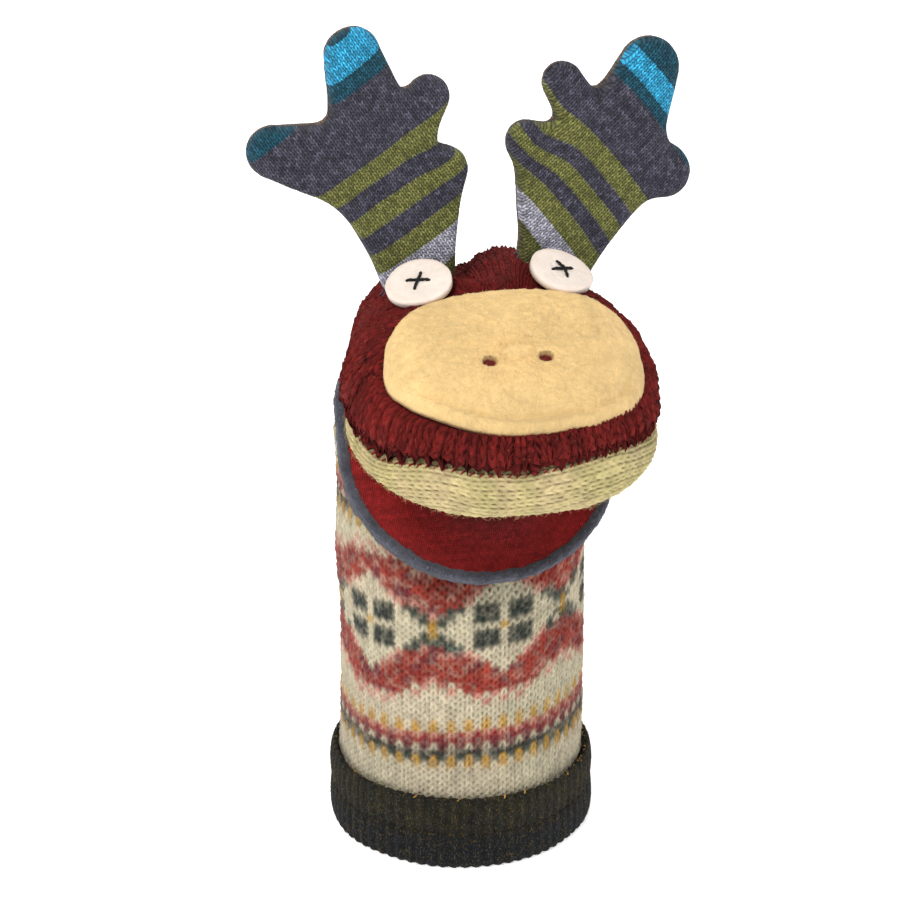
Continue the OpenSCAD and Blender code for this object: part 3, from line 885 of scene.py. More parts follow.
CROWN = np.array(((-121, 242), (-108, 247), (-86, 257), (-60, 269), (-40, 274), (-10, 276), (20, 272),
                  (38, 266), (52, 262)), float)
LIP_LINE = np.array(((-130, 221), (-60, 229), (-12, 229), (8, 222), (60, 221)), float)
PATCH_AT = np.array((HEAD_DX, -87.0, 258.0))
PATCH_TILT = math.radians(29)
PATCH_HALF_W = 56.0
PANEL_SEAM_Y = 18.0
NOSTRIL = (11.8, -4.0)
NOSTRIL_R = 3.4
NOSTRIL_TALL = 1.15
CENTRE = np.array((HEAD_DX, -85.0))


def seam_z(x, y):
    """Height of the seam between the red knit and the lip; it sags a little to the puppet's right."""
    base = np.interp(y, LIP_LINE[:, 0], LIP_LINE[:, 1])
    palate = palate_z(np.minimum(y, -12))
    wave = 1.5 * np.sin((x - 14) / 13.0) * smooth((-95 - y) / 20)
    droop = 7 * smooth((HEAD_DX + 12 - x) / 24)
    share = lerp(0.16, 0.52, smooth((y + 110 + droop) / 32)) * smooth((-10 - y) / 12)
    return base - share * np.maximum(base - palate, 0) + wave


def head_height(x, y):
    """Height of the head's upper surface, and the distance in from its outline."""
    x, y = np.broadcast_arrays(np.asarray(x, float), np.asarray(y, float))
    shape = x.shape
    x, y = x.ravel(), y.ravel()
    d = np.empty(len(x))
    for i in range(0, len(x), 4000):
        s = slice(i, i + 4000)
        d[s] = np.sqrt(((x[s, None] - NEAR[None, :, 0]) ** 2 + (y[s, None] - NEAR[None, :, 1]) ** 2).min(1))
    outside = np.abs(x - HEAD_DX) > plan_w(y)
    d = np.where(outside, 0, d)
    reach = 26 + 14 * smooth((y + 95) / 75)
    t = np.clip(d / reach, 0, 1)
    low = seam_z(x, y)
    high = np.interp(y, CROWN[:, 0], CROWN[:, 1])
    z = low + (high - low) * np.sqrt(1 - (1 - t) ** 2)
    z -= 11.5 * np.exp(-(x / 13.5) ** 2) * smooth((y + 44) / 26) * smooth((58 - y) / 20)
    return z.reshape(shape), d.reshape(shape)


def head_skin():
    """The chunky red knit over the head, in two panels with a seam across the back."""
    wales, per, rows = 100, 6, 230
    nu = wales * per
    # rays from the middle to the outline, with points closer together near the rim
    ring, _ = along(OUTLINE, nu, True)
    near_rim = 1 - np.linspace(math.sqrt(0.2), 0, 110) ** 2
    f = np.concatenate([np.linspace(0.0, 0.80, 60)[:-1], near_rim])[:, None]
    hidden = np.minimum(0.4, 22 / np.linalg.norm(ring - CENTRE, axis=1))
    f = hidden + (1 - hidden) * f
    plan = CENTRE + (ring[None] - CENTRE) * f[..., None]
    z, d = head_height(plan[..., 0], plan[..., 1])
    lift = z - seam_z(plan[..., 0], plan[..., 1])
    away = ring - CENTRE
    away = away / np.linalg.norm(away, axis=1, keepdims=True)
    # the filling pushes the sides out, most at the right cheek, and the edge hangs over the lip
    puff = 2.6 * np.sin(math.pi * np.clip(lift / 34, 0, 1)) ** 0.8 * (d < 30)
    cheek = np.exp(-((plan[..., 1] + 30) / 20) ** 2) * (plan[..., 0] < -20)
    puff += 3.5 * cheek * np.sin(math.pi * np.clip(lift / 40, 0, 1))
    puff -= 0.3 * (1 - smooth(lift / 3))
    over_lip = 1.3 * (1 - smooth(lift / 5)) * smooth((-8 - plan[..., 1]) / 10)
    base = np.concatenate([plan + away[None] * puff[..., None], (z - over_lip)[..., None]], -1)
    # the same rays with even steps, so that the courses are even too
    s = travelled(base)
    p = np.empty((rows, nu, 3))
    length = np.empty((rows, nu))
    q = np.linspace(0, 1, rows)
    for i in range(nu):
        at = q * s[-1, i]
        for c in range(3):
            p[:, i, c] = np.interp(at, s[:, i], base[:, i, c])
        length[:, i] = s[-1, i] - at
    n = grid_normals(p, True)
    n *= np.sign(n[rows // 3, :, 2].mean())
    # lumps and stitches, flat under the patch and drawn in at the seam between the panels
    lump = (noise(p, 30, 31) - 0.5) * 3.0 + (noise(p, 13, 32) - 0.5) * 1.4
    u = np.broadcast_to(np.arange(nu) / per, (rows, nu)) + 0.125
    wob = noise(p, 11, 33) - 0.5
    h, wale, course = stitches(u + wob * 0.9, length / 4.3 + wob * 1.6, 0.25, 0.215, 1.35)
    grain = noise(p, 2.0, 34)
    size = 1.9 * (0.7 + 0.6 * cell(wale, course, 35)) * (0.75 + 0.5 * noise(p, 16, 36))
    split = np.exp(-((p[..., 1] - PANEL_SEAM_Y) / 1.6) ** 2)
    edge = 1 - smooth(length / 4.5)
    pa = (p[..., 0] - PATCH_AT[0]) / PATCH_HALF_W
    lump = lump * smooth(length / 10) * smooth((np.hypot(pa, (p[..., 1] - PATCH_AT[1]) / 36) - 1.05) / 0.35)
    pb = (p[..., 1] - PATCH_AT[1]) * math.cos(PATCH_TILT) + (p[..., 2] - PATCH_AT[2]) * math.sin(PATCH_TILT)
    under = smooth((1.0 - np.hypot(pa, pb / 39.5)) / 0.08)
    raised = (lump + (h * size + 0.5 * grain) * (1 - 0.8 * edge)) * (1 - under)
    out = p + n * (raised - 1.6 * split + 0.7 * edge - 3.2 * under)[..., None]
    out[..., 2] = np.maximum(out[..., 2], NECK_Z - 2.5)
    col = CHUNKY * (0.75 + 0.5 * cell(wale, course, 37))[..., None]
    col = col * (0.8 + 0.4 * noise(p, 18, 38))[..., None]
    rare = cell(wale, course, 39)
    col = np.where((rare > 0.9975)[..., None], np.array((0.30, 0.07, 0.02)), col)
    col = np.where((rare < 0.10)[..., None], col * 0.7, col)
    inn = p - n * 2.0
    inn[..., 2] = np.maximum(inn[..., 2], NECK_Z - 2.5)
    top = (p[:-1, :, 1] + p[1:, :, 1]) / 2 < PANEL_SEAM_Y
    for part, keep, fill in (("top", top, 0.8), ("back", ~top, 0.7)):
        o = shell(f"head_{part}_chunky_knit", out, inn, keep, M_CHUNKY, col, h)
        place(o, "head", "red_knit", f"head_{part}_panel")
    remember("head", out[40:], n[40:], col[40:] * 1.6)


def lip():
    """The cream knit of the palate, rolled over the edge of the mouth as the lip."""
    q = np.linspace(0, 1, 600)
    y = HEAD_FRONT + (-12 - HEAD_FRONT) * (1 - np.cos(q * math.pi / 2))
    side = np.stack([plan_w(y), y], -1)
    curve = np.concatenate([side[::-1] * (-1, 1), side[1:]])
    wales, per = 66, 6
    nu = wales * per + 1
    ring, _ = along(curve, nu)
    t, away = outward(ring, (0, -50))
    top = seam_z(ring[:, 0] + HEAD_DX, ring[:, 1])
    under = palate_z(ring[:, 1])
    tall = np.maximum(top - under, 1.5)
    big = np.clip(tall / 18, 0.25, 1)
    # the roll in section: outwards in mm, and downwards as a share of the lip's height
    path = np.array(((-3.0, 0.08), (-1.0, 0.0), (1.9, -0.16), (2.9, -0.42), (2.9, -0.66), (1.7, -0.88),
                     (-0.8, -1.0), (-4.5, -1.03), (-9, -1.0)))
    pn, pz, _ = rounded(path, 64, 8)
    sag = (noise(xyz(ring[:, 0], ring[:, 1], 0), 34, 41) - 0.45) * 3.0
    xy = ring[None] + away[None] * (pn[:, None] * big)[..., None]
    z = top + pz[:, None] * tall + sag * smooth(-pz[:, None] * 1.3) * big
    z += 2.0 * np.exp(-(np.arange(len(pn)) / 3.0)[:, None] ** 2)
    face = np.concatenate([xy, z[..., None]], -1)
    # from the roll's lower edge in to a point near the fold of the mouth
    hub = np.array((0.0, -13.0))
    w = np.linspace(0, 1, 26)[1:, None, None]
    last = face[-1][None]
    inward = last[..., :2] * (1 - w) + hub * w
    pz2 = palate_z(inward[..., 1]) + (last[..., 2] - under) * (1 - w[..., 0]) ** 2
    palate = np.concatenate([inward, pz2[..., None]], -1)
    p = np.concatenate([face, palate])
    p[..., 0] += HEAD_DX
    n = grid_normals(p, False)
    n *= np.sign(n[30, nu // 2, 1]) * -1
    dist = travelled(p)
    wob = noise(p, 10, 42) - 0.5
    u = np.broadcast_to(np.arange(nu) / per, dist.shape)
    h, wale, course = stitches(dist / 3.5 + 0.2 + wob * 0.4, u * 1.22 + wob * 0.6, 0.27, 0.22)
    soft = (1 - 0.9 * smooth((dist - 40) / 15)) * smooth((dist + 0.5) / 5)
    yarn = h * 1.25 * (0.8 + 0.4 * cell(wale, course, 43)) + 0.3 * noise(p, 2, 44)
    out = p + n * (yarn * soft)[..., None]
    tone = 0.84 + 0.30 * cell(wale, course, 45)
    green = noise(p, 8, 46)[..., None]
    col = LIP * tone[..., None] * lerp(np.array((1.0, 1.0, 1.0)), np.array((0.86, 0.95, 0.72)), green)
    o = shell("palate_and_lip_knit", out, p - n * 1.8, None, M_LIP, col, h, False)
    place(o, "head", "lip_knit", "palate_panel")
    remember("lip", out[:60], n[:60], col[:60])
    lip_stitches(out, n, t)


def lip_stitches(out, n, t):
    """The stitches that sew the lip to the head, and the tacks in the corners of the mouth."""
    nu = len(t)
    parts = []
    for i in range(4, nu - 4, 5):
        at = out[9, i] + n[9, i] * 0.1
        ahead = np.array((t[i, 0], t[i, 1], 0)) / np.linalg.norm(t[i])
        a = at + ahead * 1.5 + (0, 0, 1.5)
        b = at - ahead * 0.8 - (0, 0, 0.9)
        thread = np.array([a - n[9, i] * 0.8, (a + b) / 2 + n[9, i] * 0.5, b - n[9, i] * 0.7])
        parts.append(tube(thread, 0.38, 5, CHUNKY * 1.3))
    strands("lip_seam_stitches", parts, "head", "red_thread", "lip_seam_thread")
    parts = []
    for s, i in ((-1, 2), (1, nu - 3)):
        c0 = out[20, i]
        for k in range(4):
            a = c0 + np.array((s * 0.8, -3 + 1.6 * k, 3.5))
            b = c0 + np.array((s * 1.4, -1.5 + 1.6 * k, -3.0))
            m = (a + b) / 2 + (s * 1.3, 0, 0)
            parts.append(tube(np.array([a, m, b]), 0.6, 6, CHUNKY * 1.3))
    strands("mouth_corner_stitches", parts, "head", "red_thread", "mouth_corner_tacks")


def on_head(a, b):
    """Points of the head's surface over the patch's plane coordinates a, b."""
    up = np.array((0, -math.sin(PATCH_TILT), math.cos(PATCH_TILT)))
    x = PATCH_AT[0] + a
    y0 = PATCH_AT[1] + b * math.cos(PATCH_TILT)
    z0 = PATCH_AT[2] + b * math.sin(PATCH_TILT)
    lo, hi = np.full(a.shape, -30.0), np.full(a.shape, 20.0)
    for _ in range(13):
        m = (lo + hi) / 2
        z, _ = head_height(x, y0 + up[1] * m)
        above = z0 + up[2] * m > z
        hi, lo = np.where(above, m, hi), np.where(above, lo, m)
    m = (lo + hi) / 2
    return np.stack([x + 0 * m, y0 + up[1] * m, z0 + up[2] * m], -1), up


def patch_outline(nu):
    """Outline of the patch in its own plane, a little cut in at the lower right."""
    th = 2 * math.pi * np.arange(nu) / nu
    ca, sa = np.cos(th), np.sin(th)
    wide = PATCH_HALF_W * np.sign(ca) * np.abs(ca) ** 0.85
    tall = np.where(sa > 0, 38.0, 38.5) * np.sign(sa) * np.abs(sa) ** 0.9
    ring = np.stack([wide, tall], -1)
    corner = 0.07 * np.clip(-sa * -ca * 2, 0, 1) ** 1.5
    ring *= np.where(ca < 0, 1 - 0.035 * np.abs(ca) - corner, 1.0)[:, None]
    return ring * (1 + 0.012 * (noise(xyz(ring[:, 0], ring[:, 1], 0), 9, 51) - 0.5)[:, None] * 2)


def patch_depth(ring, f):
    """Height of the head along the patch's normal, and the normal; solved on a coarser grid and spread."""
    nu, skip, deep = len(ring), 5, 13
    coarse = np.linspace(0, 1, deep + 1)[:, None]
    rough, up = on_head(ring[None, ::skip, 0] * coarse, ring[None, ::skip, 1] * coarse)
    depth = rough @ up
    turns = np.arange(nu) / skip
    i0 = np.floor(turns).astype(int)
    i1 = (i0 + 1) % (nu // skip)
    fu = turns - i0
    j0 = np.clip(np.floor(f * deep).astype(int), 0, deep - 1)
    fv = (f * deep - j0)[:, None]
    inner, outer = depth[j0], depth[j0 + 1]
    return lerp(lerp(inner[:, i0], inner[:, i1], fu), lerp(outer[:, i0], outer[:, i1], fu), fv), up


def muzzle_patch():
    """Boiled wool laid over the muzzle, with two nostrils drawn as thin spots in the red of the knit."""
    nu, nr = 330, 84
    ring = patch_outline(nu)
    f = np.linspace(0.004, 1, nr)
    a, b = ring[None, :, 0] * f[:, None], ring[None, :, 1] * f[:, None]
    d, up = patch_depth(ring, f)
    d = lerp(d, d.max() - 1.0, 0.25)                             # it bridges the smaller hollows
    for k in (-1, 1):                                            # rings of the grid drawn to a nostril's edge
        dx, dy = a - NOSTRIL[0] * k, b - NOSTRIL[1]
        r = np.hypot(dx, dy * NOSTRIL_TALL)
        pull = np.where(np.abs(r - NOSTRIL_R) < 0.5, NOSTRIL_R / np.maximum(r, 1e-6), 1)
        a, b = NOSTRIL[0] * k + dx * pull, NOSTRIL[1] + dy * pull
    right = np.array((1.0, 0, 0))
    slope = np.array((0, math.cos(PATCH_TILT), math.sin(PATCH_TILT)))
    base = PATCH_AT @ up
    flat = PATCH_AT + a[..., None] * right + b[..., None] * slope
    p = flat + up * (d - base)[..., None]
    rim = (1 - f[:, None]) * np.linalg.norm(ring, axis=1)[None]
    thick = 1.7 + 1.9 * np.clip(rim / 2.0, 0, 1) ** 0.5
    low = smooth(-b / 22)
    thick = thick + 0.9 * np.exp(-((rim - 2.6) / 1.7) ** 2) * low
    thick = thick - 1.0 * np.exp(-((rim - 6.2) / 1.3) ** 2) * low
    thick = thick + (noise(p, 24, 52) - 0.5) * 1.6 * smooth(rim / 10) + (noise(p, 7, 53) - 0.5) * 0.5
    thick = thick + (noise(p, 1.1, 54) - 0.5) * 0.8 + (noise(p, 2.3, 55) - 0.5) * 0.6
    tone = 0.90 + 0.2 * noise(p, 20, 56) + 0.16 * (noise(p, 1.7, 57) - 0.5) + 0.12 * (noise(p, 5, 58) - 0.5)
    col = PATCH * (tone * (1 - 0.13 * smooth(-b / 36)))[..., None]
    smudge = np.exp(-(((a + 2) / 15) ** 2 + ((b + 17) / 9) ** 2)) * noise(p, 7, 59)
    col = lerp(col, np.array((0.55, 0.36, 0.15)), (0.34 * smudge)[..., None])
    for k in (-1, 1):
        r = np.hypot(a - NOSTRIL[0] * k, (b - NOSTRIL[1]) * NOSTRIL_TALL)
        inside = r < NOSTRIL_R - 0.05
        thick = np.where(inside, 1.1 - 0.9 * noise(p, 1.6, 60), thick - 0.5 * np.exp(-((r - 3.1) / 1.2) ** 2))
        col = np.where(inside[..., None], CHUNKY * 0.9 + 0 * col, col)
    out = p + up * thick[..., None]
    o = shell("muzzle_patch_boiled_wool", out, p - up * 0.4, None, M_FELT, col)
    place(o, "head", "boiled_wool", "muzzle_patch")
    n = grid_normals(out, True)
    n *= np.sign(n[20, :, 2].mean())
    remember("patch", out[8:], n[8:], col[8:])


head_skin()
lip()
muzzle_patch()


# ---------------------------------------------------------------- eyes

EYE_R = 14.0


def eye(side, name, seed):
    """A felt disc, tilted back and outwards, with two crossed strands of black yarn."""
    low, high = node_mm("eye_" + name)
    centre = (low + high) / 2 + np.array((-1.4 if side < 0 else -0.6, -1.6, -2.0 if side < 0 else -1.2))
    a, b = math.radians(22), math.radians(15 * side)
    rx = np.array(((1, 0, 0), (0, math.cos(a), -math.sin(a)), (0, math.sin(a), math.cos(a))))
    ry = np.array(((math.cos(b), 0, math.sin(b)), (0, 1, 0), (-math.sin(b), 0, math.cos(b))))
    turn = rx @ ry
    nu, nr = 120, 34
    th = 2 * math.pi * np.arange(nu) / nu
    wob = 1 + 0.02 * np.sin(2 * th + seed) + 0.012 * np.sin(3 * th + 2 * seed)
    f = np.linspace(0.01, 1, nr) ** 0.8
    r = EYE_R * f[:, None] * wob
    x, y = r * np.cos(th), r * np.sin(th)
    p3 = xyz(x, y, 3.0 * seed)
    rim = EYE_R * (1 - f)[:, None]
    z = 1.0 + 0.9 * np.clip(rim / 1.8, 0, 1) ** 0.5
    z = z + (noise(p3, 1.4, 61) - 0.5) * 0.30 + (noise(p3, 6, 62) - 0.5) * 0.5
    z = z - 0.5 * np.exp(-(r / 5.5) ** 2)
    top = np.stack([x, y, z], -1) @ turn.T + centre
    bottom = xyz(x * 0.99, y * 0.99, -1.7) @ turn.T + centre
    col = EYE * (0.95 + 0.08 * noise(p3, 3, 63))[..., None]
    pink = np.exp(-((rim - 0.8) / 1.6) ** 2) * noise(p3, 6, 64)
    col = lerp(col, np.array((0.80, 0.52, 0.46)), (0.35 * pink)[..., None])
    o = shell(f"eye_{name}_felt_disc", top, bottom, None, M_EYE, col)
    place(o, "head", "eye_felt", "eye_" + name)
    parts = []
    for k, ang in enumerate((math.radians(-21 if side < 0 else 15), math.radians(64 if side < 0 else -75))):
        t = np.linspace(-1, 1, 13)
        reach = 5.6
        hz = 2.0 - 0.35 * np.exp(-t ** 2) + 0.45 - 2.6 * np.abs(t) ** 9 + 0.75 * k * np.exp(-(t * 3.2) ** 2)
        hx = reach * t * math.cos(ang) + 0.25 * np.sin(t * 3 + k)
        hy = reach * t * math.sin(ang)
        g = np.stack([hx, hy, hz], -1) @ turn.T + centre
        parts.append(tube(g, 0.66 + 0.08 * np.sin(t * 22), 10, (0.012, 0.011, 0.012), 0.4))
    strands(f"eye_{name}_crossed_yarn", parts, "head", "black_yarn", "eye_cross_" + name, M_BLACK)


eye(1, "left", 1)
eye(-1, "right", 2)


# ---------------------------------------------------------------- lower jaw

def in_jaw(x, s, h):
    """Puts jaw coordinates (across, forward from the fold, up) into the frame."""
    x, s, h = np.broadcast_arrays(x, s, h)
    return HINGE + x[..., None] * np.array((1.0, 0, 0)) + s[..., None] * JAW_ON + h[..., None] * JAW_UP


def jaw_curve(inset, root, count):
    """Outline of the jaw from its right root round the tip to its left root."""
    a = np.linspace(math.pi, 0, 300)
    bow = np.stack([(JAW_HALF - inset) * np.cos(a), JAW_LEN - JAW_BOW + (JAW_BOW - inset) * np.sin(a)], -1)
    full = np.concatenate([[[-(JAW_HALF - inset) + 4, root], [-(JAW_HALF - inset) + 1.0, root + 9]], bow,
                           [[JAW_HALF - inset - 1.0, root + 9], [JAW_HALF - inset - 4, root]]])
    return along(full, count)


def mouth_lining():
    """Fine jersey, with its courses running across the jaw."""
    nu, nr = 460, 250
    ring, _ = jaw_curve(2.0, 1.0, nu)
    f = np.linspace(0, 1, nr) ** 0.9
    hub = np.array((0.0, 1.0))
    g = ring[None] * f[::-1, None, None] + hub * (1 - f[::-1, None, None])
    x, s = g[..., 0], g[..., 1]
    inset = (f[:, None]) * np.linalg.norm(ring - hub, axis=1)
    q = xyz(x, s, 0)
    bow = -3.2 * smooth(inset / 26) + (noise(q, 32, 71) - 0.5) * 2.4 * smooth(inset / 12)
    knit = np.stack([x / 1.9, s / 1.3], -1)
    h, wale, course = stitches(knit[..., 0], knit[..., 1], 0.27, 0.23)
    top = in_jaw(x, s, -0.6 + bow + 0.3 * h * smooth(inset / 3))
    tone = (0.8 + 0.4 * cell(wale, course, 72)) * (0.85 + 0.3 * noise(q, 20, 73))
    tone = tone * (0.85 + 0.3 * cell(0 * course, course, 74))
    # painted shadow of the head: the middle of the lining is darker and greyer, brightening towards its edges
    out_of_shadow = smooth((np.hypot((x - 4) / 46, (s - 38) / 54) - 0.25) / 0.75)
    shadowed_jersey = JERSEY * 0.34 + np.array((0.016, 0.016, 0.018))
    col = lerp(shadowed_jersey, JERSEY * 1.1, out_of_shadow[..., None]) * tone[..., None]
    o = shell("mouth_lining_red_jersey", top, in_jaw(x, s, -2.2 + bow), None, M_JERSEY, col, h, False, knit)
    place(o, "lower_jaw", "jaw_jersey", "jaw_lining")


def chin_shell():
    """Felted wool, rolled over the edge of the jaw."""
    nu = 460
    path = np.array(((-3.6, -0.4), (-2.6, 1.2), (-0.6, 1.7), (0.9, 0.6), (1.2, -2.5), (0.6, -6.5),
                     (-1.2, -10.0), (-5, -12.8), (-11, -14.2), (-22, -14.9), (-34, -15.0)))
    pn, ph, _ = rounded(path, 84, 10)
    ring, _ = jaw_curve(1.2, 0.0, nu)
    _, away = outward(ring, (0, 30))
    g = ring[None] + away[None] * pn[:, None, None]
    hub = np.array((0.0, 6.0))
    w = np.linspace(0, 1, 16)[1:, None, None]
    g = np.concatenate([g, g[-1][None] * (1 - w) + hub * w])
    hh = np.concatenate([ph, np.full(15, ph[-1])])[:, None] + 0 * g[..., 0]
    q = np.stack([g[..., 0], g[..., 1], hh], -1)
    hh = hh + (noise(q, 24, 75) - 0.5) * 1.6
    dart = np.exp(-(g[..., 0] / 2.4) ** 2) * smooth((hh * -1 - 9) / 4) * smooth((g[..., 1] - 14) / 10)
    p = in_jaw(g[..., 0], g[..., 1], hh + 1.2 * dart)
    n = grid_normals(p, False)
    n *= np.sign(np.sum(n[70:90] * -JAW_UP, -1).mean())
    out = p + n * ((noise(q, 1.6, 76) - 0.5) * 0.8 + (noise(q, 4, 77) - 0.5) * 0.7)[..., None]
    tone = (0.72 + 0.56 * noise(q, 6, 78)) * (0.85 + 0.3 * noise(q, 1.5, 79))
    col = GREY * 0.72 * tone[..., None]
    o = shell("chin_shell_grey_felt", out, p - n * 2.2, None, M_GREY, col, wrap_u=False)
    place(o, "lower_jaw", "grey_felt", "chin_shell")
    remember("chin", out[2:40], n[2:40], col[2:40])


mouth_lining()
chin_shell()


# ---------------------------------------------------------------- antlers

ANTLER_X = 29.0
ANTLER_Y = -14.0
ANTLER_Z = 268.0
# Each lobe: tip (outward, up), radius at the tip, radius where it joins the palm.
LOBES = {"left": ((53, 43, 12, 18), (46, 90, 13, 19), (8, 84, 9.5, 12), (-8, 60, 9, 12)),
         "right": ((59, 61, 11.5, 19), (25, 101, 12, 20), (-8, 82, 9, 13), (-15, 50, 8, 12))}
PALM = {"left": (29, 50, 24), "right": (12, 50, 24)}
FOOT = {"left": (5, 6, 15), "right": (-2, 6, 15)}
HEEL = {"left": (-8, 60, 5), "right": (-15, 50, 8)}
# Stripes of the reclaimed sweater: direction they climb in (outward, up), and where each one ends, in mm.
STRIPE_UP = {"left": (0.724, 0.690), "right": (0.559, 0.829)}
STRIPE_COURSE = 1.8
STRIPE_AT = {"left": (33, 330), "right": (25, 330)}
STRIPES = {"left": (-31.8, -23.7, -14.7, -7.2, -0.5, 6.8, 16.9, 39.1, 45.2, 54.6),
           "right": (-49.6, -38.4, -28.6, -19.7, -10.3, -1.4, 6.6, 35.6, 43.2, 55.3)}
STRIPE_COLOURS = np.array((OLIVE * 0.8, LAVENDER, OLIVE, CHARCOAL, OLIVE, CHARCOAL, OLIVE, CHARCOAL, TEAL,
                           BLUE, TEAL)) * 1.15


def capsule(x, y, a, ra, b, rb):
    """Distance outside a tapered capsule, negative inside."""
    dx, dy = b[0] - a[0], b[1] - a[1]
    t = np.clip(((x - a[0]) * dx + (y - a[1]) * dy) / (dx * dx + dy * dy), 0, 1)
    return np.hypot(x - a[0] - t * dx, y - a[1] - t * dy) - lerp(ra, rb, t)


def antler_distance(name, x, y):
    """Distance outside an antler's outline, with its lobes melted into the palm."""
    palm, foot, heel = PALM[name], FOOT[name], HEEL[name]
    parts = [capsule(x, y, palm, palm[2], foot, foot[2]), capsule(x, y, foot, foot[2], heel, heel[2])]
    for lx, ly, tip, root in LOBES[name]:
        a = (palm[0] + (lx - palm[0]) * 0.25, palm[1] + (ly - palm[1]) * 0.25)
        parts.append(capsule(x, y, a, root, (lx, ly), tip))
    k = 2.6
    total = sum(np.exp(-np.clip(d, -60, 60) / k) for d in parts)
    return -k * np.log(total) + 0.4


def antler(name, side):
    """An antler's two knitted faces, blown up over their outline like a filled pillow, and what is in it."""
    step = 0.5
    gx = np.arange(-36, 76, step)
    gy = np.arange(-8, 118, step)
    x, y = np.meshgrid(gx, gy)
    seed = 80 if name == "left" else 90
    q = xyz(x, y, 0)
    wob = (noise(q, 16, seed) - 0.5) * 1.2
    d = antler_distance(name, x, y) + wob
    inside = d < 0
    u = np.where(inside, np.clip(-d, 0, 24) * np.clip(48 + d, 0, 48) / 2, 0)
    for _ in range(500):
        around = np.roll(u, 1, 0) + np.roll(u, -1, 0) + np.roll(u, 1, 1) + np.roll(u, -1, 1)
        u = np.where(inside, (around + step * step * 1.9) / 4, 0)
    s = np.sqrt(2 * np.maximum(u, 0))
    thick = 10.3 * s / (s ** 3 + 12.5 ** 3) ** (1 / 3)
    thick *= 0.93 + 0.14 * noise(q, 22, seed + 1)
    # the outline: grid points next to it are moved onto it
    gdy, gdx = np.gradient(d, step)
    gl = np.maximum(np.hypot(gdx, gdy), 0.3)
    near = (d > -0.5 * step) & (d < 1.05 * step)
    px = np.where(near, x - gdx / gl ** 2 * d, x)
    py = np.where(near, y - gdy / gl ** 2 * d, y)
    thick = np.where(near, 0, thick)
    ok = d < 1.05 * step
    wx = HEAD_DX + side * (ANTLER_X + px)
    wz = ANTLER_Z + py
    floor, _ = head_height(np.clip(wx, HEAD_DX - 58, HEAD_DX + 58), np.full(wx.shape, ANTLER_Y))
    ok &= wz > floor - 5.0
    keep = ok[:-1, :-1] & ok[1:, :-1] & ok[:-1, 1:] & ok[1:, 1:]
    # stripes and stitches run with the knitting of the sweater, not with the antler
    up, at = np.array(STRIPE_UP[name]), STRIPE_AT[name]
    out_x, out_z = side * wx - at[0], wz - at[1]
    rise = out_x * up[0] + out_z * up[1]
    run = out_x * up[1] - out_z * up[0]
    if name == "left":
        tuck = np.exp(-(((px + 3) / 13) ** 2 + ((py - 66) / 13) ** 2))
        rise = rise + 7.0 * tuck + 0.0028 * run * np.abs(run) * 0.6
        thick = thick - 2.2 * np.exp(-(((px - 2) / 6) ** 2 + ((py - 62) / 9) ** 2)) * (thick > 3)
    else:
        rise = rise + 3.5 * np.exp(-(((px + 12) / 10) ** 2 + ((py - 58) / 9) ** 2))
    p3 = xyz(wx, 0, wz)
    wav = noise(p3, 14, seed + 2) - 0.5
    knit = np.stack([run / 2.3 + wav * 0.5, rise / STRIPE_COURSE + wav * 0.6], -1)
    h, wale, course = stitches(knit[..., 0], knit[..., 1], 0.27, 0.23)
    level = (np.floor(knit[..., 1]) + 0.5) * STRIPE_COURSE
    index = np.searchsorted(np.array(STRIPES[name]), level.ravel()).reshape(level.shape)
    col = STRIPE_COLOURS[index]
    rnd = cell(wale, course, seed + 3)
    grey = (index == 3) | (index == 5) | (index == 7)
    heather = np.where(grey, 0.75 + 0.75 * rnd ** 2, 0.9 + 0.2 * rnd)
    col = col * heather[..., None]
    brown_knit = np.stack([wx / 2.0, wz / 1.7], -1)
    h2, _, _ = stitches(brown_knit[..., 0], brown_knit[..., 1], 0.27, 0.23)
    brown = BROWN * (0.85 + 0.3 * noise(p3, 4, seed + 5))[..., None]
    hollow = np.maximum(thick - 2.2, 0)
    fade = np.clip(thick / 3.0, 0, 1)
    for part, sign, relief, colour, stitch_at, mat, slot in (
            ("front", -1, h, col, knit, M_STRIPE, "stripe_knit"),
            ("back", 1, h2, brown, brown_knit, M_BROWN, "brown_knit")):
        bump = (0.40 * relief + 0.15 * noise(p3, 1.2, seed + 6)) * fade
        out = np.stack([wx, ANTLER_Y + sign * (0.02 + thick + bump), wz], -1)
        inn = np.stack([wx, ANTLER_Y + sign * (0.01 + hollow), wz], -1)
        if sign * side > 0:
            out, inn, k2 = out[:, ::-1], inn[:, ::-1], keep[:, ::-1]
            relief, colour, stitch_at = relief[:, ::-1], colour[:, ::-1], stitch_at[:, ::-1]
        else:
            k2 = keep
        o = shell(f"antler_{name}_{part}_knit", out, inn, k2, mat, colour, relief, False, stitch_at)
        place(o, "antler_" + name, slot, f"antler_{part}_{name}")
        if part == "front":
            m = keep & (thick[:-1, :-1] > 0.3)
            pts = out[:-1, :-1] if k2 is keep else out[:, ::-1][:-1, :-1]
            ty, tx = np.gradient(thick, step)
            n = xyz(-tx[:-1, :-1] * side, -1.0, -ty[:-1, :-1])
            n /= np.linalg.norm(n, axis=2, keepdims=True)
            remember("antler_" + name, pts[m], n[m], (col[:-1, :-1][m]) * 1.3)
    antler_filling(name, side, wx, wz, thick, ok)
    ladder_stitches(name, side)


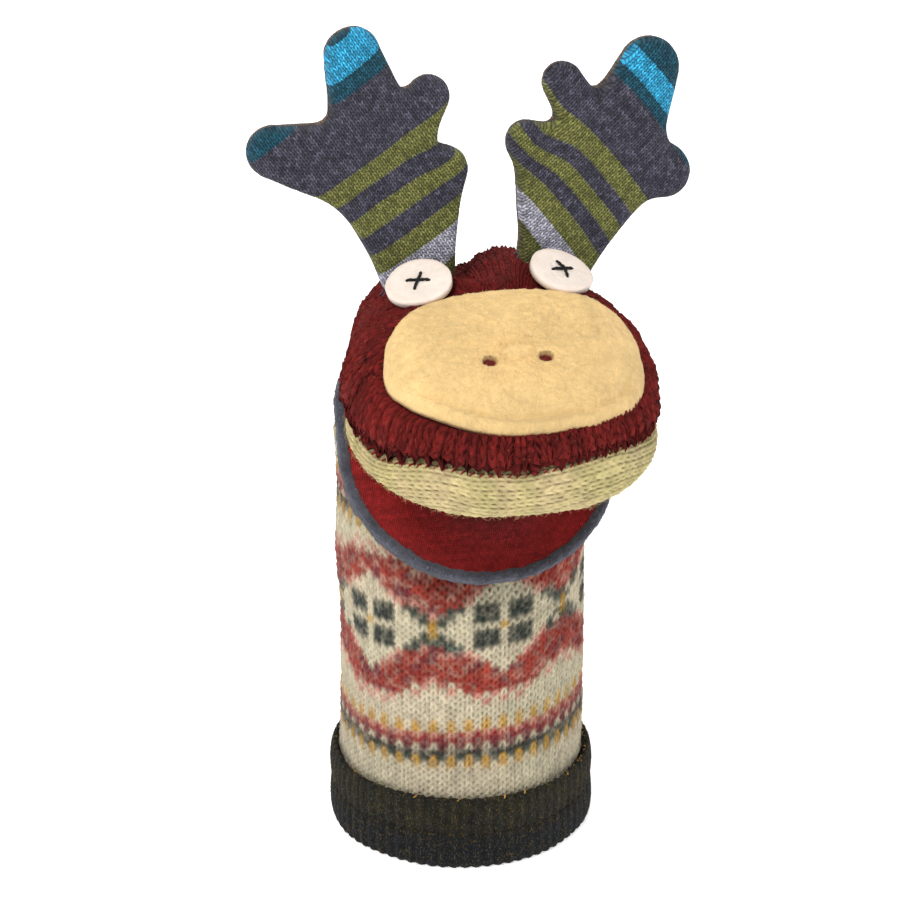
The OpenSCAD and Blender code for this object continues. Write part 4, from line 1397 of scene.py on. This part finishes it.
def antler_filling(name, side, wx, wz, thick, ok):
    """Filling between an antler's two faces, on every fifth point of their grid."""
    st = (slice(None, None, 5), slice(None, None, 5))
    fill = np.maximum(thick[st] - 3.0, 0.0)
    kf = ok[st] & (thick[st] > 3.2)
    kq = kf[:-1, :-1] & kf[1:, :-1] & kf[:-1, 1:] & kf[1:, 1:]
    a = np.stack([wx[st], ANTLER_Y - 0.05 - fill, wz[st]], -1)
    b = np.stack([wx[st], ANTLER_Y + 0.05 + fill, wz[st]], -1)
    if side < 0:
        a, b, kq = a[:, ::-1], b[:, ::-1], kq[:, ::-1]
    o = shell(f"antler_{name}_filling", a, b, kq, M_FILL, 0.8, wrap_u=False)
    place(o, "antler_" + name, "filling", "antler_stuffing_" + name)


def ladder_stitches(name, side):
    """Stitches round an antler's foot."""
    parts = []
    middle = HEAD_DX + side * (ANTLER_X + FOOT[name][0] * 0.6)
    for i in range(14):
        t = 2 * math.pi * (i + 0.5) / 14
        ends = []
        for half_w, half_d, rise in ((15.5, 12.2, 0.6), (13.0, 9.4, 3.4)):
            x = middle + side * half_w * math.cos(t)
            y = ANTLER_Y + half_d * math.sin(t)
            ends.append(np.array((x, y, float(head_height(x, y)[0]) + rise)))
        a, b = ends
        m = (a + b) / 2 + np.array((math.cos(t) * side, math.sin(t), 0.6)) * 0.8
        parts.append(tube(np.array([a, m, b]), 0.42, 5, CHARCOAL * 1.2))
    strands(f"antler_{name}_ladder_stitches", parts, "head", "grey_thread", "antler_stitches_" + name)


antler("left", 1)
antler("right", -1)


# ---------------------------------------------------------------- what is inside

def head_filling():
    """Filling of the head, with room for the finger pocket."""
    nu, nr = 120, 26
    ring, _ = along(OUTLINE, nu, True)
    f = np.linspace(0.02, 1, nr) ** 0.7 * 0.93
    plan = CENTRE + (0, 30) + (ring[None] - CENTRE - (0, 30)) * f[:, None, None]
    z, _ = head_height(plan[..., 0], plan[..., 1])
    low = palate_z(np.minimum(plan[..., 1], -15)) + 4.0
    low = np.where(plan[..., 1] > -15, np.maximum(low, 226.3), low)
    over = (np.abs(plan[..., 0] - HEAD_DX) < 33) & (plan[..., 1] > -90) & (plan[..., 1] < 33)
    low = np.where(over, 245.8, low)
    top = np.maximum(z - 5.5, low + 1.0)
    a = np.concatenate([plan, top[..., None]], -1)
    b = np.concatenate([plan, low[..., None]], -1)
    place(shell("head_filling", a, b, None, M_FILL, 0.8), "head", "filling", "head_stuffing")


def finger_pocket():
    """A flat tube of lining, open downwards at the back, and the collar of its opening."""
    nu, nv = 72, 60
    th = 2 * math.pi * np.arange(nu) / nu
    cx = np.sign(np.cos(th)) * np.abs(np.cos(th)) ** 0.45
    cz = np.sign(np.sin(th)) * np.abs(np.sin(th)) ** 0.45
    s = np.linspace(0, 1, nv)
    yy = -86 + 116 * (1 - np.cos(s * math.pi)) / 2
    cap = np.minimum(np.sqrt(np.clip((yy + 87.5) / 14, 0, 1)), np.sqrt(np.clip((31.5 - yy) / 6, 0, 1)))

    def ring_at(grow):
        w, t = (30 + grow) * cap[:, None] * cx, (6.2 + grow) * cap[:, None] ** 0.6 * cz
        return np.stack([HEAD_DX + w, yy[:, None] + 0 * w, 236.75 + t], -1)

    mid = (yy[:-1] + yy[1:]) / 2
    keep = ~((mid[:, None] > -4) & (np.sin(th + math.pi / nu)[None] < -0.6))
    out, inn = ring_at(1.5), ring_at(0.0)
    col = np.array((0.16, 0.15, 0.155)) * (0.8 + 0.4 * noise(out, 2, 101))[..., None]
    o = shell("finger_pocket_lining", out[:, ::-1], inn[:, ::-1], keep[:, ::-1], M_LINING, col)
    place(o, "head", "lining", "finger_pocket")
    zz = np.linspace(223.2, 232.5, 8)
    a, b = (xyz(HEAD_DX + w * cx, 13 + t * cz, zz[:, None]) for w, t in ((31.2, 17.6), (30, 16.4)))
    place(shell("finger_pocket_collar", a, b, None, M_LINING, 0.16), "head", "lining")


def jaw_inside():
    """The jaw's wadding, and the stitches that close the chin's dart."""
    ring, _ = jaw_curve(4.6, 3.0, 120)
    f = np.linspace(1, 0, 14)[:, None, None]
    g = ring[None] * f + np.array((0.0, 3.0)) * (1 - f)
    dome = smooth((1 - f[..., 0]) * 4)
    a = in_jaw(g[..., 0], g[..., 1], -6.6)
    b = in_jaw(g[..., 0], g[..., 1], -9.0 - 2.4 * dome)
    o = shell("jaw_wadding", a, b, None, M_FILL, 0.8, wrap_u=False)
    place(o, "lower_jaw", "filling", "jaw_padding")
    parts = []
    for i, s in enumerate(np.arange(26, 88, 5.0)):
        k = 1 if i % 2 else -1
        across, forward = np.array((-2.4, 0.0, 2.4)) * k, s + np.array((-1, 0, 1.6))
        pts = in_jaw(across, forward, np.array((-14.9, -15.3, -14.9)))
        parts.append(tube(pts, 0.4, 5, CHARCOAL * 0.8))
    strands("chin_dart_tacking", parts, "lower_jaw", "grey_thread", "chin_tacking")


head_filling()
finger_pocket()
jaw_inside()


# ---------------------------------------------------------------- loose fibres

def loose(skin, body, slot, count, length, thick, lift, seed, dark=1.0):
    """Loose fibres on a remembered skin, a little lighter or darker than it."""
    pts, n, c = SKINS[skin]
    n = n / np.maximum(np.linalg.norm(n, axis=1, keepdims=True), 1e-6)
    o = fuzz("loose_fibres_" + skin, pts, n, c * dark, count, length, thick, lift, seed)
    place(o, body, slot)


loose("sleeve", "sleeve", "sleeve_knit", 15000, 2.9, 0.05, 0.5, 1, 1.05)
loose("cuff", "sleeve", "cuff_rib", 5000, 2.4, 0.05, 0.5, 2)
loose("head", "head", "red_knit", 4200, 3.2, 0.045, 0.6, 3)
loose("lip", "head", "lip_knit", 3200, 3.8, 0.05, 0.55, 4, 1.1)
loose("patch", "head", "boiled_wool", 9000, 1.5, 0.05, 0.45, 5, 1.05)
loose("chin", "lower_jaw", "grey_felt", 3500, 2.2, 0.05, 0.5, 6, 1.5)
loose("antler_left", "antler_left", "stripe_knit", 1800, 1.6, 0.035, 0.5, 7)
loose("antler_right", "antler_right", "stripe_knit", 1800, 1.6, 0.035, 0.5, 8)


# ---------------------------------------------------------------- floor, light and camera

def stage_and_light():
    me = bpy.data.meshes.new("floor")
    half = 6.0
    corners = [(-half, -half, 0), (half, -half, 0), (half, half, 0), (-half, half, 0)]
    me.from_pydata(corners, [], [(0, 1, 2, 3)])
    floor = bpy.data.objects.new("floor", me)
    bpy.context.scene.collection.objects.link(floor)
    floor.location.z = -0.0004
    k = Nodes("pale_floor")
    k.bsdf.inputs["Base Color"].default_value = (0.86, 0.86, 0.86, 1)
    k.bsdf.inputs["Roughness"].default_value = 0.7
    k.bsdf.inputs["Emission Color"].default_value = (1, 1, 1, 1)
    k.bsdf.inputs["Emission Strength"].default_value = 0.62
    me.materials.append(k.m)
    world = bpy.data.worlds.new("studio")
    bpy.context.scene.world = world
    world.use_nodes = True
    world.node_tree.nodes["Background"].inputs[0].default_value = (1.0, 1.0, 1.0, 1)
    world.node_tree.nodes["Background"].inputs[1].default_value = 0.62

    def area(name, where, size, power, colour=(1, 1, 1)):
        d = bpy.data.lights.new(name, "AREA")
        d.shape = "DISK"
        d.size = size
        d.energy = power
        d.color = colour
        o = bpy.data.objects.new(name, d)
        bpy.context.scene.collection.objects.link(o)
        o.location = where
        aim = Vector((0, 0, 0.2)) - Vector(where)
        o.rotation_euler = aim.to_track_quat("-Z", "Y").to_euler()

    area("key_light", (-0.7, -0.9, 1.5), 0.6, 19, (1.0, 0.985, 0.96))
    area("fill_light", (1.2, -0.8, 0.7), 1.0, 4, (0.97, 0.985, 1.0))
    area("back_light", (0.2, 1.2, 1.1), 0.9, 6)


def camera():
    az, el, far, half_view = math.radians(-12), math.radians(22), 1.2, 0.2025
    back = Vector((math.sin(az) * math.cos(el), -math.cos(az) * math.cos(el), math.sin(el)))
    right = Vector((math.cos(az), math.sin(az), 0))
    up = back.cross(right)
    centre = Vector((0, 0, 0.190)) - right * 0.00495 - up * 0.00783
    d = bpy.data.cameras.new("camera")
    d.sensor_width = 36
    d.lens = d.sensor_width / 2 * far / half_view
    d.clip_start = 0.05
    o = bpy.data.objects.new("camera", d)
    bpy.context.scene.collection.objects.link(o)
    o.location = centre + back * far
    o.rotation_euler = (-back).to_track_quat("-Z", "Y").to_euler()
    bpy.context.scene.camera = o


camera()
stage_and_light()
bpy.context.scene.view_settings.view_transform = "Standard"
